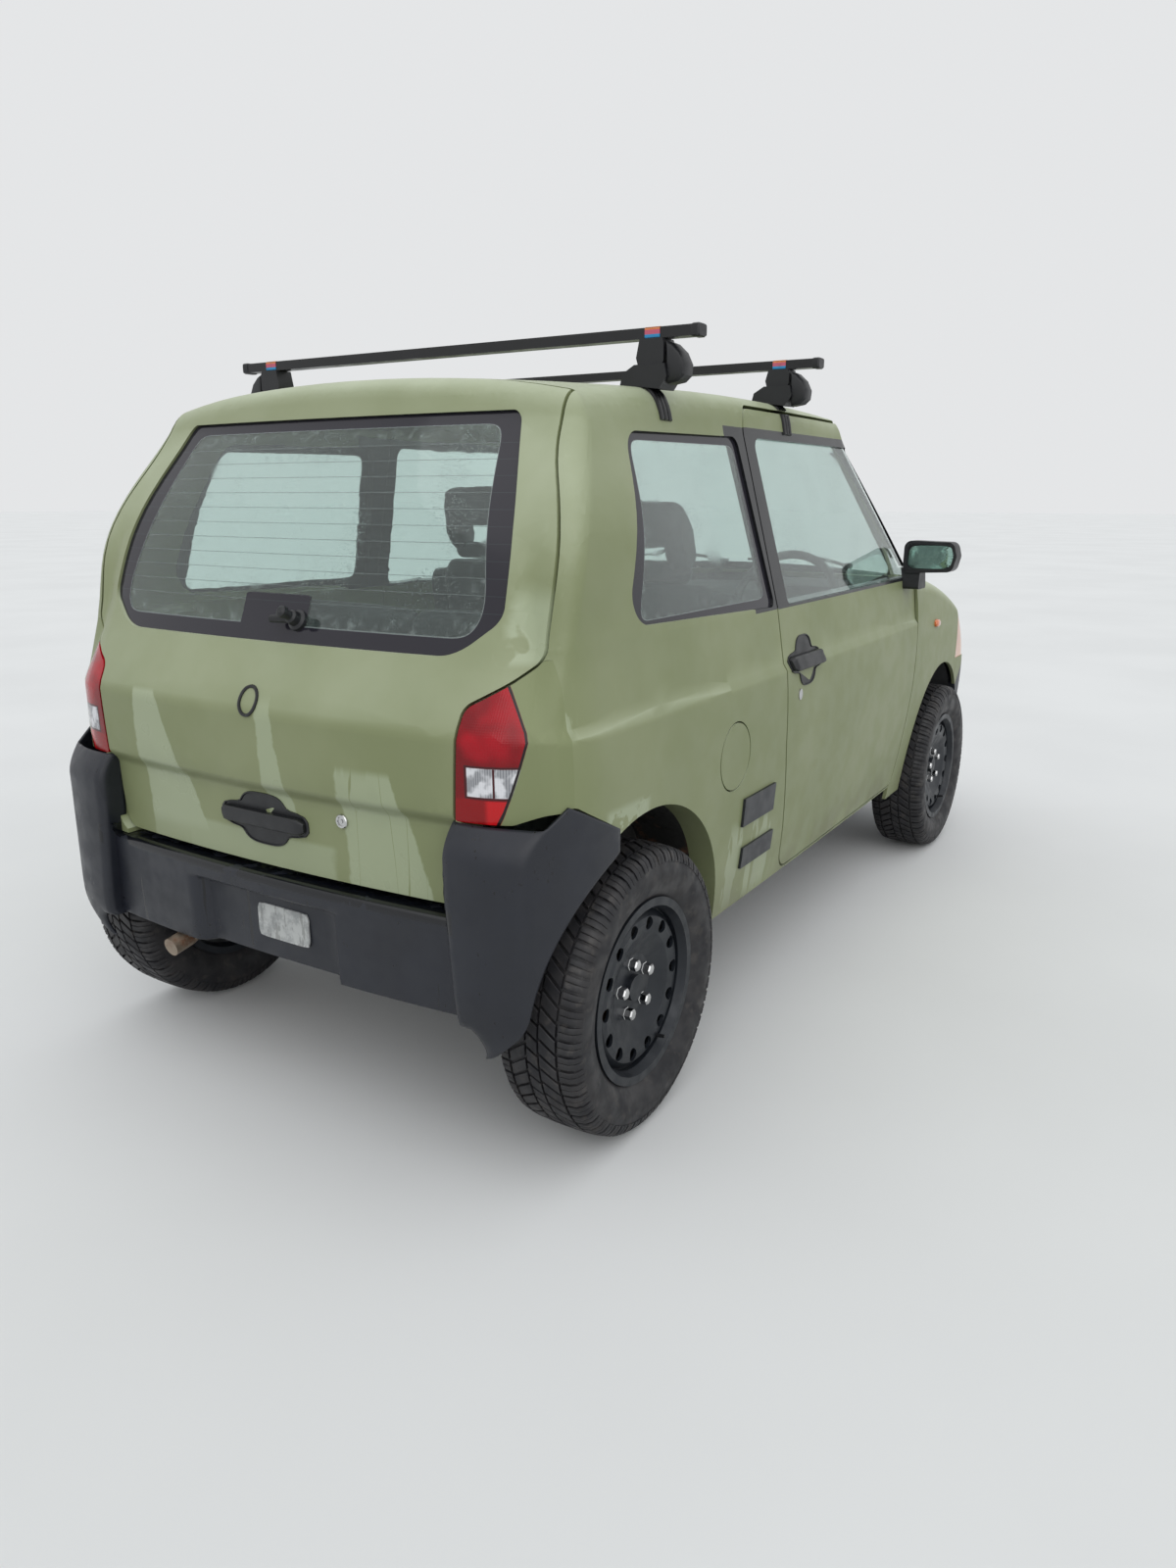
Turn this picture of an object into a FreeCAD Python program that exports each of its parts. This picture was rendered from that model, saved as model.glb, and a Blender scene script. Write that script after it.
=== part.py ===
import FreeCAD, Part
import math
import os
from FreeCAD import Vector

# Kei car, three-door hatchback lifted on tall tyres, right-hand drive.
# Millimetres. X points forward, Y to the car's left, Z up.
# The origin is on the ground, in the middle of the car's length and width.

# Driving dimensions
body_length = 3395.0
body_width = 1475.0
rear_axle_x = -1290.0
wheelbase = 2360.0
track = 1300.0
hub_z = 317.0
sill_z = 345.0
waist_z = 912.0
belt_z = 1072.0
roof_z = 1584.0
arch_r = 373.0
arch_z = 350.0

# Walls, seams and clearances
seam = 6.0
lower_wall = 66.0
upper_wall = 36.0
panel_skin = 22.0
rebate = 6.0
step_in = 22.0
fender_skin = 12.0
bumper_wall = 26.0
bumper_proud = 13.0
glass_depth = 7.0
glass_t = 5.0
seat_gap = 0.3

front_axle_x = rear_axle_x + wheelbase
half_length = body_length / 2
half_width = body_width / 2
wheel_y = track / 2
SIDES = (("left", 1), ("right", -1))


def box(x0, x1, y0, y1, z0, z1):
    corner = Vector(min(x0, x1), min(y0, y1), min(z0, z1))
    return Part.makeBox(abs(x1 - x0), abs(y1 - y0), abs(z1 - z0), corner)


def rod(a, b, r):
    a = Vector(*a)
    b = Vector(*b)
    return Part.makeCylinder(r, a.distanceToPoint(b), a, b.sub(a))


def bent_tube(points, r, bend):
    """A round bar along straight runs joined by tangent arcs."""
    route = [Vector(*p) for p in points]
    edges = []
    start = route[0]
    for i in range(1, len(route) - 1):
        back = route[i - 1].sub(route[i]).normalize()
        onward = route[i + 1].sub(route[i]).normalize()
        half = back.getAngle(onward) / 2
        reach = bend / math.tan(half)
        first = route[i] + back * reach
        last = route[i] + onward * reach
        middle = (back + onward).normalize()
        centre = route[i] + middle * (bend / math.sin(half))
        edges.append(Part.makeLine(start, first))
        edges.append(Part.Arc(first, centre - middle * bend, last).toShape())
        start = last
    edges.append(Part.makeLine(start, route[-1]))
    ring = Part.Wire([Part.makeCircle(r, route[0], route[1].sub(route[0]))])
    return Part.Wire(edges).makePipeShell([ring], True, True)


def fuse(shapes):
    first, rest = shapes[0], list(shapes[1:])
    return first.fuse(rest).removeSplitter() if rest else first


def main_piece(shape):
    """The largest solid, without the slivers a cut can leave."""
    return max(shape.Solids, key=lambda solid: solid.Volume)


def mirror(shape):
    return shape.mirror(Vector(0, 0, 0), Vector(0, 1, 0))


def on_side(shape, side):
    """The shape is drawn on the left side; -1 gives its mirror image."""
    return shape if side > 0 else mirror(shape)


def in_plane(axis, a, b, t):
    """A point given in the two directions across an axis, at t along it."""
    return {"x": Vector(t, a, b), "y": Vector(a, t, b), "z": Vector(a, b, t)}[axis]


def pushed(edges, axis, start, end):
    return Part.Face(Part.Wire(edges)).extrude(in_plane(axis, 0, 0, end - start))


def prism(points, axis, start, end):
    """A straight-sided block over an outline given in the two directions across the axis."""
    corners = [in_plane(axis, a, b, start) for a, b in points]
    face = Part.Face(Part.makePolygon(corners + corners[:1]))
    return face.extrude(in_plane(axis, 0, 0, end - start))


def rounded(points, radii, axis, start, end):
    """Like prism, with each corner rounded to its own radius, or all to one."""
    count = len(points)
    bends = []
    for i in range(count):
        here = in_plane(axis, *points[i], start)
        r = radii[i] if isinstance(radii, (list, tuple)) else radii
        if r <= 0:
            bends.append((here, here, here))
            continue
        to_before = in_plane(axis, *points[i - 1], start).sub(here).normalize()
        to_after = in_plane(axis, *points[(i + 1) % count], start).sub(here).normalize()
        half = to_before.getAngle(to_after) / 2
        reach = r / math.tan(half)
        middle = (to_before + to_after).normalize()
        centre = here + middle * (r / math.sin(half))
        bends.append((here + to_before * reach, centre - middle * r, here + to_after * reach))
    edges = []
    for i in range(count):
        first, between, last = bends[i]
        if first.distanceToPoint(last) > 1e-6:
            edges.append(Part.Arc(first, between, last).toShape())
        following = bends[(i + 1) % count][0]
        if last.distanceToPoint(following) > 1e-6:
            edges.append(Part.makeLine(last, following))
    return pushed(edges, axis, start, end)


# The body is two lofts of plan outlines, each outline four shallow arcs joined by corner arcs.
side_bulge_x = -900.0
side_radius = 75000.0
rear_radius = 5200.0
nose_radius = 1500.0
screen_radius = 2000.0
windscreen_lean = 1.235
windscreen_foot = (840.0, 1045.0)
tailgate_lean = 0.523
tailgate_foot = (-1678.0, 940.0)


def windscreen_x(z):
    return windscreen_foot[0] - windscreen_lean * (z - windscreen_foot[1])


def tailgate_x(z):
    return tailgate_foot[0] + tailgate_lean * (z - tailgate_foot[1])


# height, rear end, front end, half width, rear corner radius, front corner radius
LOWER_RINGS = (
    (270.0, -1655.0, 1640.0, 690.0, 45.0, 220.0),
    (420.0, -1668.0, 1685.0, 712.0, 45.0, 200.0),
    (600.0, -1676.0, half_length, 730.0, 45.0, 190.0),
    (780.0, -1683.0, 1672.0, half_width, 45.0, 240.0),
    (waist_z, -1684.0, 1590.0, 733.0, 45.0, 300.0),
    (1130.0, -1684.0, 1380.0, 696.0, 45.0, 360.0),
)
UPPER_RINGS = (
    (waist_z, -1684.0, windscreen_x(waist_z), 733.0, 45.0, 120.0),
    (930.0, tailgate_x(940), windscreen_x(930), 722.0, 45.0, 120.0),
    (belt_z, tailgate_x(belt_z), windscreen_x(belt_z), 702.0, 50.0, 110.0),
    (1640.0, tailgate_x(1640), windscreen_x(1640), 564.0, 50.0, 90.0),
)


def corner_points(z, half, end_x, end_r, corner_r, way, inset):
    """Start, middle and end of the arc that rounds the left side into one end."""
    side_c = Vector(side_bulge_x, half - side_radius, z)
    end_c = Vector(end_x - way * end_r, 0, z)
    side_r = side_radius - inset
    bow_r = end_r - inset
    r = max(corner_r - inset, 10.0)
    a = side_r - r
    b = bow_r - r
    line = end_c.sub(side_c)
    gap = line.Length
    along = line * (1 / gap)
    t = (a * a - b * b + gap * gap) / (2 * gap)
    across = Vector(-along.y, along.x, 0) * math.sqrt(max(a * a - t * t, 0))
    choices = (side_c + along * t + across, side_c + along * t - across)
    centre = max(choices, key=lambda p: way * p.x)
    to_side = centre.sub(side_c).normalize()
    to_end = centre.sub(end_c).normalize()
    middle = (to_side + to_end).normalize()
    return side_c + to_side * side_r, centre + middle * r, end_c + to_end * bow_r


def plan_ring(z, rear, front, half, rear_r, front_r, front_bow, inset):
    f_side, f_mid, f_end = corner_points(z, half, front, front_bow, front_r, 1, inset)
    r_side, r_mid, r_end = corner_points(z, half, rear, rear_radius, rear_r, -1, inset)

    def flip(p):
        return Vector(p.x, -p.y, p.z)
    bulge = Vector(side_bulge_x, half - inset, z)
    arcs = (
        (r_side, bulge, f_side),
        (f_side, f_mid, f_end),
        (f_end, Vector(front - inset, 0, z), flip(f_end)),
        (flip(f_end), flip(f_mid), flip(f_side)),
        (flip(f_side), flip(bulge), flip(r_side)),
        (flip(r_side), flip(r_mid), flip(r_end)),
        (flip(r_end), Vector(rear + inset, 0, z), r_end),
        (r_end, r_mid, r_side),
    )
    return Part.Wire([Part.Arc(*points).toShape() for points in arcs])


# Crowned surfaces: an arc in the middle plane, carried sideways round a lengthwise axis
ROOF_LINE = ((-1500.0, 1543.0), (-700.0, roof_z), (300.0, 1562.0))
roof_crown = 4600.0
BONNET_LINE = ((500.0, 1110.0), (1150.0, 1020.0), (1800.0, 690.0))
bonnet_crown = 6000.0


def above(line, crown, inset):
    points = [Vector(x, 0, z - inset) for x, z in line]
    axis = Vector(0, 0, line[1][1] - crown)
    top = max(p.z for p in points) + 400
    a, b = points[0], points[2]
    c = Vector(b.x, 0, top)
    d = Vector(a.x, 0, top)
    wire = Part.Wire([Part.Arc(*points).toShape(), Part.makeLine(b, c), Part.makeLine(c, d), Part.makeLine(d, a)])
    face = Part.Face(wire)
    half = 14
    face.rotate(axis, Vector(1, 0, 0), -half)
    return face.revolve(axis, Vector(1, 0, 0), 2 * half)


def lower_loft(inset):
    rings = [plan_ring(z, r, f, h, cr, cf, nose_radius, inset) for z, r, f, h, cr, cf in LOWER_RINGS]
    return Part.makeLoft(rings, True, False)


def upper_loft(inset):
    rings = [plan_ring(z, r, f, h, cr, cf, screen_radius, inset) for z, r, f, h, cr, cf in UPPER_RINGS]
    return Part.makeLoft(rings, True, True)


roof_edge_r = 60.0
shoulder_r = 60.0
least_round = 38.0


def cabin_form(inset, roof_inset=None):
    roof_inset = inset if roof_inset is None else roof_inset
    shape = upper_loft(inset).cut(above(ROOF_LINE, roof_crown, roof_inset))
    if inset > panel_skin:
        return shape
    rim = [e for e in shape.Edges if e.BoundBox.ZMin > 1400]
    return shape.makeFillet(max(roof_edge_r - inset, least_round), rim)


def waist_form(inset):
    return lower_loft(inset).common(box(-1800, 1800, -800, 800, 200, waist_z))


def nose_form(inset, top_inset=None):
    top_inset = inset if top_inset is None else top_inset
    shape = lower_loft(inset).common(box(450, 1800, -800, 800, 200, 1200))
    shape = shape.cut(above(BONNET_LINE, bonnet_crown, top_inset))
    if inset > panel_skin + rebate:
        return shape
    rim = []
    for e in shape.Edges:
        b = e.BoundBox
        if b.ZMin > 750 and min(abs(b.YMin), abs(b.YMax)) > 500 and b.XLength > 100:
            rim.append(e)
    return shape.makeFillet(max(shoulder_r - inset, least_round), rim)


made_forms = {}
left_space = box(-1800, 1800, 1, 900, 0, 1800)


def forms(form, inset):
    key = (form.__name__, inset)
    if key not in made_forms:
        made_forms[key] = form(inset)
    return made_forms[key]


def body_form(inset):
    """Waist and cabin together, with no nose."""
    return forms(waist_form, inset).fuse(forms(cabin_form, inset))


def left_body(inset):
    return forms(waist_form, inset).common(left_space).fuse(forms(cabin_form, inset).common(left_space))


def left_nose(inset):
    return forms(nose_form, inset).common(left_space)


# Outlines in the side view, X and Z
door_sill_z = 352.0
DOOR = (
    (556.0, door_sill_z), (640.0, 694.0), (668.0, 1040.0), (165.0, 1532.0),
    (-607.0, 1532.0), (-566.0, 717.0), (-521.0, 480.0), (-506.0, door_sill_z),
)
DOOR_ROUND = (50.0, 300.0, 30.0, 120.0, 45.0, 300.0, 150.0, 60.0)
DOOR_GLASS = ((628.0, 1076.0), (200.0, 1482.0), (-548.0, 1482.0), (-512.0, 1072.0))
DOOR_GLASS_ROUND = (12.0, 60.0, 30.0, 20.0)
QUARTER_GLASS = ((-600.0, 1074.0), (-650.0, 1480.0), (-1196.0, 1470.0), (-1330.0, 1094.0))
QUARTER_GLASS_ROUND = (20.0, 30.0, 70.0, 60.0)
REAR_BUMPER = (
    (-1800.0, 757.0), (-1618.0, 757.0), (-1566.0, 792.0), (-1420.0, 716.0),
    (-1420.0, 200.0), (-1800.0, 200.0),
)
REAR_BUMPER_ROUND = (0.0, 30.0, 40.0, 0.0, 0.0, 0.0)
FRONT_BUMPER = ((1330.0, 580.0), (1440.0, 700.0), (1800.0, 700.0), (1800.0, 200.0), (1330.0, 200.0))
FRONT_BUMPER_ROUND = (0.0, 30.0, 0.0, 0.0, 0.0)

# Outlines in the rear or front view, Y and Z, left half
TAILGATE = (
    (508.0, 574.0), (529.0, 968.0), (680.0, 1052.0), (598.0, 1330.0), (570.0, 1420.0), (556.0, 1640.0),
)
TAILGATE_ROUND = (40.0, 30.0, 30.0, 900.0, 300.0, 0.0)
# Half width of the tailgate's inner part, which swings up past the frame's ledges
swing_half = 628.0
TAIL_LAMP = (
    (512.0, 757.0), (529.0, 968.0), (680.0, 1055.0), (780.0, 1055.0), (780.0, 790.0), (640.0, 757.0),
)
TAIL_LAMP_ROUND = (16.0, 30.0, 14.0, 0.0, 0.0, 40.0)
REAR_GLASS = ((480.0, 1052.0), (560.0, 1122.0), (522.0, 1283.0), (478.0, 1500.0))
REAR_GLASS_ROUND = (120.0, 40.0, 400.0, 24.0)
WINDSCREEN = ((606.0, 1066.0), (527.0, 1530.0))
WINDSCREEN_ROUND = (40.0, 40.0)
HEADLAMP = ((400.0, 716.0), (640.0, 700.0), (780.0, 730.0), (780.0, 905.0), (650.0, 900.0), (440.0, 800.0))
HEADLAMP_ROUND = (30.0, 60.0, 0.0, 0.0, 90.0, 40.0)

# Outline from above, X and Y, left half
BONNET = ((1580.0, 395.0), (1340.0, 606.0), (640.0, 618.0))
BONNET_ROUND = (120.0, 200.0, 0.0)

tailgate_hinge = (-1275.0, 1538.0)
tailgate_hinge_r = 40.0
bonnet_hinge = (790.0, 1036.0)
bonnet_hinge_r = 62.0
door_hinge = (610.0, 726.0)
door_swing_r = 86.0


def both_halves(points, first_is_side=True):
    """A closed outline from its left half, with the right half mirrored."""
    right = [(-a, b) for a, b in reversed(points)]
    return list(points) + right


def both_sides(points):
    """The same for an outline whose second number runs across the car."""
    return list(points) + [(a, -b) for a, b in reversed(points)]


def ends_too(radii):
    return list(radii) + list(reversed(radii))


def grown(outline, radii, axis, start, end, more):
    """A rounded block whose outline is moved outwards by more, or inwards if it is below zero."""
    count = len(outline)
    area = sum(outline[i - 1][0] * outline[i][1] - outline[i][0] * outline[i - 1][1] for i in range(count))
    turn = 1 if area > 0 else -1
    lines = []
    for i in range(count):
        (ax, ay), (bx, by) = outline[i], outline[(i + 1) % count]
        size = math.hypot(bx - ax, by - ay)
        nx, ny = turn * (by - ay) / size, -turn * (bx - ax) / size
        lines.append((nx, ny, nx * ax + ny * ay + more))
    points = []
    new_radii = []
    for i in range(count):
        (n1, m1, d1), (n2, m2, d2) = lines[i - 1], lines[i]
        det = n1 * m2 - m1 * n2
        points.append(((d1 * m2 - m1 * d2) / det, (n1 * d2 - d1 * n2) / det))
        bend = 1 if det * turn > 0 else -1
        new_radii.append(max(radii[i] + bend * more, 1.0) if radii[i] > 0 else 0.0)
    return rounded(points, new_radii, axis, start, end)


def hinge_bar(hinge, r):
    return rod((hinge[0], -900, hinge[1]), (hinge[0], 900, hinge[1]), r)


def door_block(more):
    return grown(DOOR, DOOR_ROUND, "y", 450.0, 800.0, more)


def door_glass_block(more):
    return grown(DOOR_GLASS, DOOR_GLASS_ROUND, "y", 450.0, 800.0, more)


def quarter_glass_block(more):
    return grown(QUARTER_GLASS, QUARTER_GLASS_ROUND, "y", 450.0, 800.0, more)


def tailgate_block(more):
    block = grown(both_halves(TAILGATE), ends_too(TAILGATE_ROUND), "x", -1800.0, tailgate_hinge[0], more)
    return block.cut(hinge_bar(tailgate_hinge, tailgate_hinge_r + seam / 2 - more))


def tail_lamp_block(more):
    return grown(TAIL_LAMP, TAIL_LAMP_ROUND, "x", -1800.0, -1560.0, more)


def rear_glass_block(more):
    return grown(both_halves(REAR_GLASS), ends_too(REAR_GLASS_ROUND), "x", -1800.0, -1290.0, more)


def screen_block(more):
    return grown(both_halves(WINDSCREEN), ends_too(WINDSCREEN_ROUND), "x", 60.0, 1100.0, more)


def headlamp_block(more):
    return grown(HEADLAMP, HEADLAMP_ROUND, "x", 1280.0, 1800.0, more)


def bonnet_block(more):
    block = grown(both_sides(BONNET), ends_too(BONNET_ROUND), "z", 600.0, 1200.0, more)
    return block.cut(hinge_bar(bonnet_hinge, bonnet_hinge_r + seam / 2 - more))


def rear_bumper_block(more):
    side = grown(REAR_BUMPER, REAR_BUMPER_ROUND, "y", -850.0, 850.0, more)
    lid = rounded(((-527.0 + more, 564.0 + more), (527.0 - more, 564.0 + more), (540.0 - more, 1000.0),
                   (-540.0 + more, 1000.0)), 18.0, "x", -1800.0, -1300.0)
    return side.cut(lid)


def front_bumper_block(more):
    return grown(FRONT_BUMPER, FRONT_BUMPER_ROUND, "y", -850.0, 850.0, more)


def roof_block():
    front = windscreen_x(1500.0)
    return box(tailgate_hinge[0] - tailgate_hinge_r, front, -roof_half, roof_half, 1470, 1700)


def arch(x, r, y0, y1):
    return rod((x, y0, arch_z), (x, y1, arch_z), r)


liner_y = 368.0
liner_t = 5.0


def wheel_space(more):
    """What a front wheel sweeps on full lock, with its liner round it."""
    return arch(front_axle_x, arch_r + liner_t + more, liner_y - more, 900)


roof_half = 536.0
below_belt = box(-1900, 1900, -1000, 1000, 0, belt_z)
above_belt = box(-1900, 1900, -1000, 1000, belt_z, 1900)


def make_room():
    """The open space inside the walls."""
    low = forms(body_form, lower_wall).common(below_belt)
    high = forms(cabin_form, upper_wall).common(above_belt)
    return low.fuse(high)


room = make_room()
outside = forms(body_form, 0)
nose = forms(nose_form, 0)
left_room = room.common(left_space)
hinge_sweep = rod((door_hinge[0], door_hinge[1], 340), (door_hinge[0], door_hinge[1], 1150), door_swing_r)
parts = {}


def keep(name, shape):
    parts[name] = shape


def keep_pair(name, shape):
    for side, sign in SIDES:
        keep(name + "_" + side, on_side(shape, sign))


def build_side_frames():
    inner_rebate = forms(left_body, panel_skin + rebate)
    frame = forms(left_body, 0).common(box(-1800, 760, 1, 900, sill_z, 1800))
    openings = [
        left_room,
        box(200, 760, 0, 590, sill_z, 1010),
        box(-1800, -1500, 0, 487, 0, 1060),
        tailgate_block(seam / 2).cut(inner_rebate),
        tailgate_block(seam / 2 - step_in),
        roof_block(),
        screen_block(0),
        door_block(seam / 2).cut(inner_rebate),
        door_block(seam / 2 - step_in),
        door_block(seam / 2).common(box(-900, 600, 400, 900, 1500, 1700)),
        quarter_glass_block(0),
        tail_lamp_block(seat_gap),
        rear_bumper_block(seat_gap),
        arch(rear_axle_x, arch_r, 400, 800),
        wheel_space(seat_gap),
        hinge_sweep,
        box(540, 800, 600, 900, 300, 1200).cut(forms(left_nose, fender_skin + seat_gap)),
    ]
    return main_piece(frame.cut(openings))


def build_fender():
    """Wing: the nose's outer skin between the door, the bonnet, the lamp and the bumper."""
    zone = box(540, 1800, 1, 900, 300, 1200)
    wing = nose.common(zone).cut(forms(left_nose, fender_skin))
    wing = wing.cut(door_block(seam / 2))
    wing = wing.cut(bonnet_block(seam / 2))
    wing = wing.cut(box(500, 1800, 1, 440, 0, 1300).fuse(box(500, 900, 1, cowl_half + seat_gap, 900, 1300)))
    wing = wing.cut(headlamp_block(seat_gap))
    wing = wing.cut(front_bumper_block(seat_gap))
    wing = wing.cut(forms(cabin_form, 0))
    return main_piece(wing.cut(arch(front_axle_x, arch_r, 400, 800)))


def build_bonnet():
    lid = nose.common(bonnet_block(-seam / 2)).common(above(BONNET_LINE, bonnet_crown, panel_skin))
    lid = lid.cut(forms(cabin_form, 0))
    return main_piece(lid.cut(headlamp_block(seam)).cut(mirror(headlamp_block(seam))))


cowl_half = 560.0
firewall_x = 800.0
firewall_t = 10.0


def build_cowl():
    strip = nose.common(box(600, 900, -cowl_half, cowl_half, 900, 1200))
    strip = strip.common(above(BONNET_LINE, bonnet_crown, panel_skin))
    strip = strip.cut(bonnet_block(seam / 2))
    strip = strip.cut(forms(cabin_form, 0))
    wall_block = box(firewall_x, firewall_x + firewall_t, -630, 630, 370, 1000)
    wall_block = wall_block.common(forms(nose_form, lower_wall))
    for sign in (1, -1):
        wall_block = wall_block.cut(on_side(wheel_space(seat_gap), sign))
    passage = tunnel_half + seat_gap
    wall_block = wall_block.cut(box(700, 900, -passage, passage, 300, tunnel_z + seat_gap))
    shelf = box(806, 846, -cowl_half, cowl_half, 980, 1062).common(forms(nose_form, panel_skin))
    return fuse([strip, wall_block, shelf])


def build_roof():
    lid = outside.common(roof_block()).cut(room)
    rear = tailgate_block(seam / 2)
    return lid.cut(rear).cut(screen_block(0)).cut(box(-1400, tailgate_hinge[0], -600, 600, 1400, 1600).cut(
        hinge_bar(tailgate_hinge, tailgate_hinge_r)))


def build_door():
    outer = forms(left_body, 0).common(door_block(-seam / 2)).cut(forms(left_body, panel_skin))
    inner = forms(left_body, panel_skin).common(door_block(-seam / 2 - step_in)).cut(left_room)
    under_roof = box(-900, 600, 0, roof_half + seam, 1470, 1700)
    return outer.fuse(inner).cut(door_glass_block(0)).cut(under_roof)


def pane(block):
    return forms(cabin_form, glass_depth).common(block).cut(forms(cabin_form, glass_depth + glass_t))


def build_tailgate():
    outer = outside.common(tailgate_block(-seam / 2)).cut(forms(body_form, panel_skin))
    inner = forms(body_form, panel_skin).common(tailgate_block(-seam / 2 - step_in)).cut(room)
    inner = inner.common(box(-1800, 0, -swing_half, swing_half, 0, 1700))
    return outer.fuse(inner).cut(rear_glass_block(0))


def build_tail_lamp():
    depth = 62.0
    lamp = forms(left_body, 0).common(tail_lamp_block(-seat_gap)).cut(forms(left_body, depth))
    return lamp.cut(tailgate_block(seam / 2)).cut(rear_bumper_block(seat_gap))


def build_rear_bumper():
    outer = lower_loft(0)
    outer.translate(Vector(-bumper_proud, 0, 0))
    inner = lower_loft(bumper_wall)
    inner.translate(Vector(-bumper_proud, 0, 0))
    cover = outer.common(rear_bumper_block(0)).common(box(-1800, -1400, -900, 900, 278, 800)).cut(inner)
    for sign in (1, -1):
        cover = cover.cut(on_side(arch(rear_axle_x, arch_r, 400, 800), sign))
    return cover.cut(box(-1800, -1400, -500, 500, 200, 357))


def build_front_bumper():
    cover = nose.common(front_bumper_block(0)).common(box(1300, 1800, -900, 900, 290, 800))
    cover = cover.cut(forms(nose_form, bumper_wall))
    for sign in (1, -1):
        cover = cover.cut(on_side(arch(front_axle_x, arch_r, 400, 800), sign))
        cover = cover.cut(on_side(headlamp_block(seat_gap), sign))
    return cover.cut(rounded(((-420.0, 395.0), (420.0, 395.0), (460.0, 520.0), (-460.0, 520.0)), 30.0,
                             "x", 1500.0, 1800.0))


def build_grille():
    outline = ((-400.0, 700.3), (400.0, 700.3), (425.0, 790.0), (-425.0, 790.0))
    zone = rounded(outline, 12.0, "x", 1500.0, 1800.0)
    plate = nose.common(zone).cut(forms(nose_form, 30.0))
    plate = plate.cut(bonnet_block(seam / 2))
    for sign in (1, -1):
        plate = plate.cut(on_side(headlamp_block(seat_gap), sign))
    return plate


def build_headlamp():
    lamp = forms(left_nose, 2.0).common(headlamp_block(-seat_gap)).cut(forms(left_nose, 70.0))
    return lamp.cut(bonnet_block(seam / 2))


# Running gear
tyre_r = hub_z
rim_r = 190.5
rim_lip_r = 205.0
barrel_r = 178.0
bead_half = 75.0
lip_t = 7.0
disc_t = 6.0
disc_seat = 38.0
lug_circle_r = 114.3 / 2
lug_count = 5
lug_r = 11.0
lug_length = 18.0
hole_ring_r = 145.0
hole_r = 14.5
hole_count = 14
cap_r = 29.0
kingpin_low = (585.0, 200.0)
kingpin_top = (478.0, 800.0)
AXLES = (("front", front_axle_x), ("rear", rear_axle_x))


def turned(points, centre):
    """A ring whose section is given as distance across the wheel and radius."""
    cx, cy, cz = centre
    corners = [Vector(cx, cy + a, cz + r) for a, r in points]
    face = Part.Face(Part.makePolygon(corners + corners[:1]))
    return face.revolve(Vector(cx, cy, cz), Vector(0, 1, 0), 360)


# Half section of the tyre, across and radius, from the bead to the crown
TYRE_HALF = ((bead_half, rim_r + seat_gap), (bead_half, rim_lip_r + 2), (89.0, 226.0), (97.5, 256.0),
             (96.0, 284.0), (86.0, 306.0), (60.0, 315.0))


def build_tyre(x):
    section = list(TYRE_HALF) + [(0.0, tyre_r)] + [(-a, r) for a, r in reversed(TYRE_HALF)]
    return turned(section, (x, wheel_y, hub_z))


# Section of the wheel from its middle out to the barrel, across and radius
DISC_FACE = ((disc_seat + disc_t, 0.0), (disc_seat + disc_t, 74.0), (54.0, 100.0), (64.0, 124.0),
             (68.0, 146.0), (66.0, 160.0), (50.0, 176.0), (50.0, 184.0))
DISC_BACK = ((44.0, 184.0), (44.0, 174.0), (59.0, 156.0), (61.0, 146.0), (58.0, 126.0), (48.0, 102.0),
             (disc_seat, 77.0), (disc_seat, 0.0))
BARREL = ((bead_half + lip_t, rim_r - 4), (bead_half + lip_t, rim_lip_r), (bead_half + 1, rim_lip_r),
          (bead_half, rim_r), (-bead_half, rim_r), (-bead_half - 1, rim_lip_r),
          (-bead_half - lip_t, rim_lip_r), (-bead_half - lip_t, rim_r - 4), (-bead_half + 12, barrel_r),
          (bead_half - 12, barrel_r))


def build_rim(x):
    centre = (x, wheel_y, hub_z)
    barrel = turned(BARREL, centre)
    disc = turned(DISC_FACE + DISC_BACK, centre)
    for i in range(hole_count):
        a = 2 * math.pi * i / hole_count
        hx = x + hole_ring_r * math.cos(a)
        hz = hub_z + hole_ring_r * math.sin(a)
        disc = disc.cut(rod((hx, wheel_y + 30, hz), (hx, wheel_y + 90, hz), hole_r))
    seat_y = wheel_y + disc_seat + disc_t
    cap = rod((x, seat_y - 1, hub_z), (x, seat_y + 12, hub_z), cap_r)
    lugs = []
    for i in range(lug_count):
        a = math.radians(90 + 8) + 2 * math.pi * i / lug_count
        lx = x + lug_circle_r * math.cos(a)
        lz = hub_z + lug_circle_r * math.sin(a)
        lugs.append(rod((lx, seat_y - 1, lz), (lx, seat_y + lug_length, lz), lug_r))
    return fuse([barrel, disc, cap] + lugs)


def kingpin_y(z):
    t = (z - kingpin_low[1]) / (kingpin_top[1] - kingpin_low[1])
    return kingpin_low[0] + t * (kingpin_top[0] - kingpin_low[0])


joint_ball_r = 32.0
hub_r = 45.0
hub_face_y = wheel_y + disc_seat - seat_gap
strut_r = 24.0
spring_r = 56.0
tower_z = 812.0
ball_top = 205.7


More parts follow.
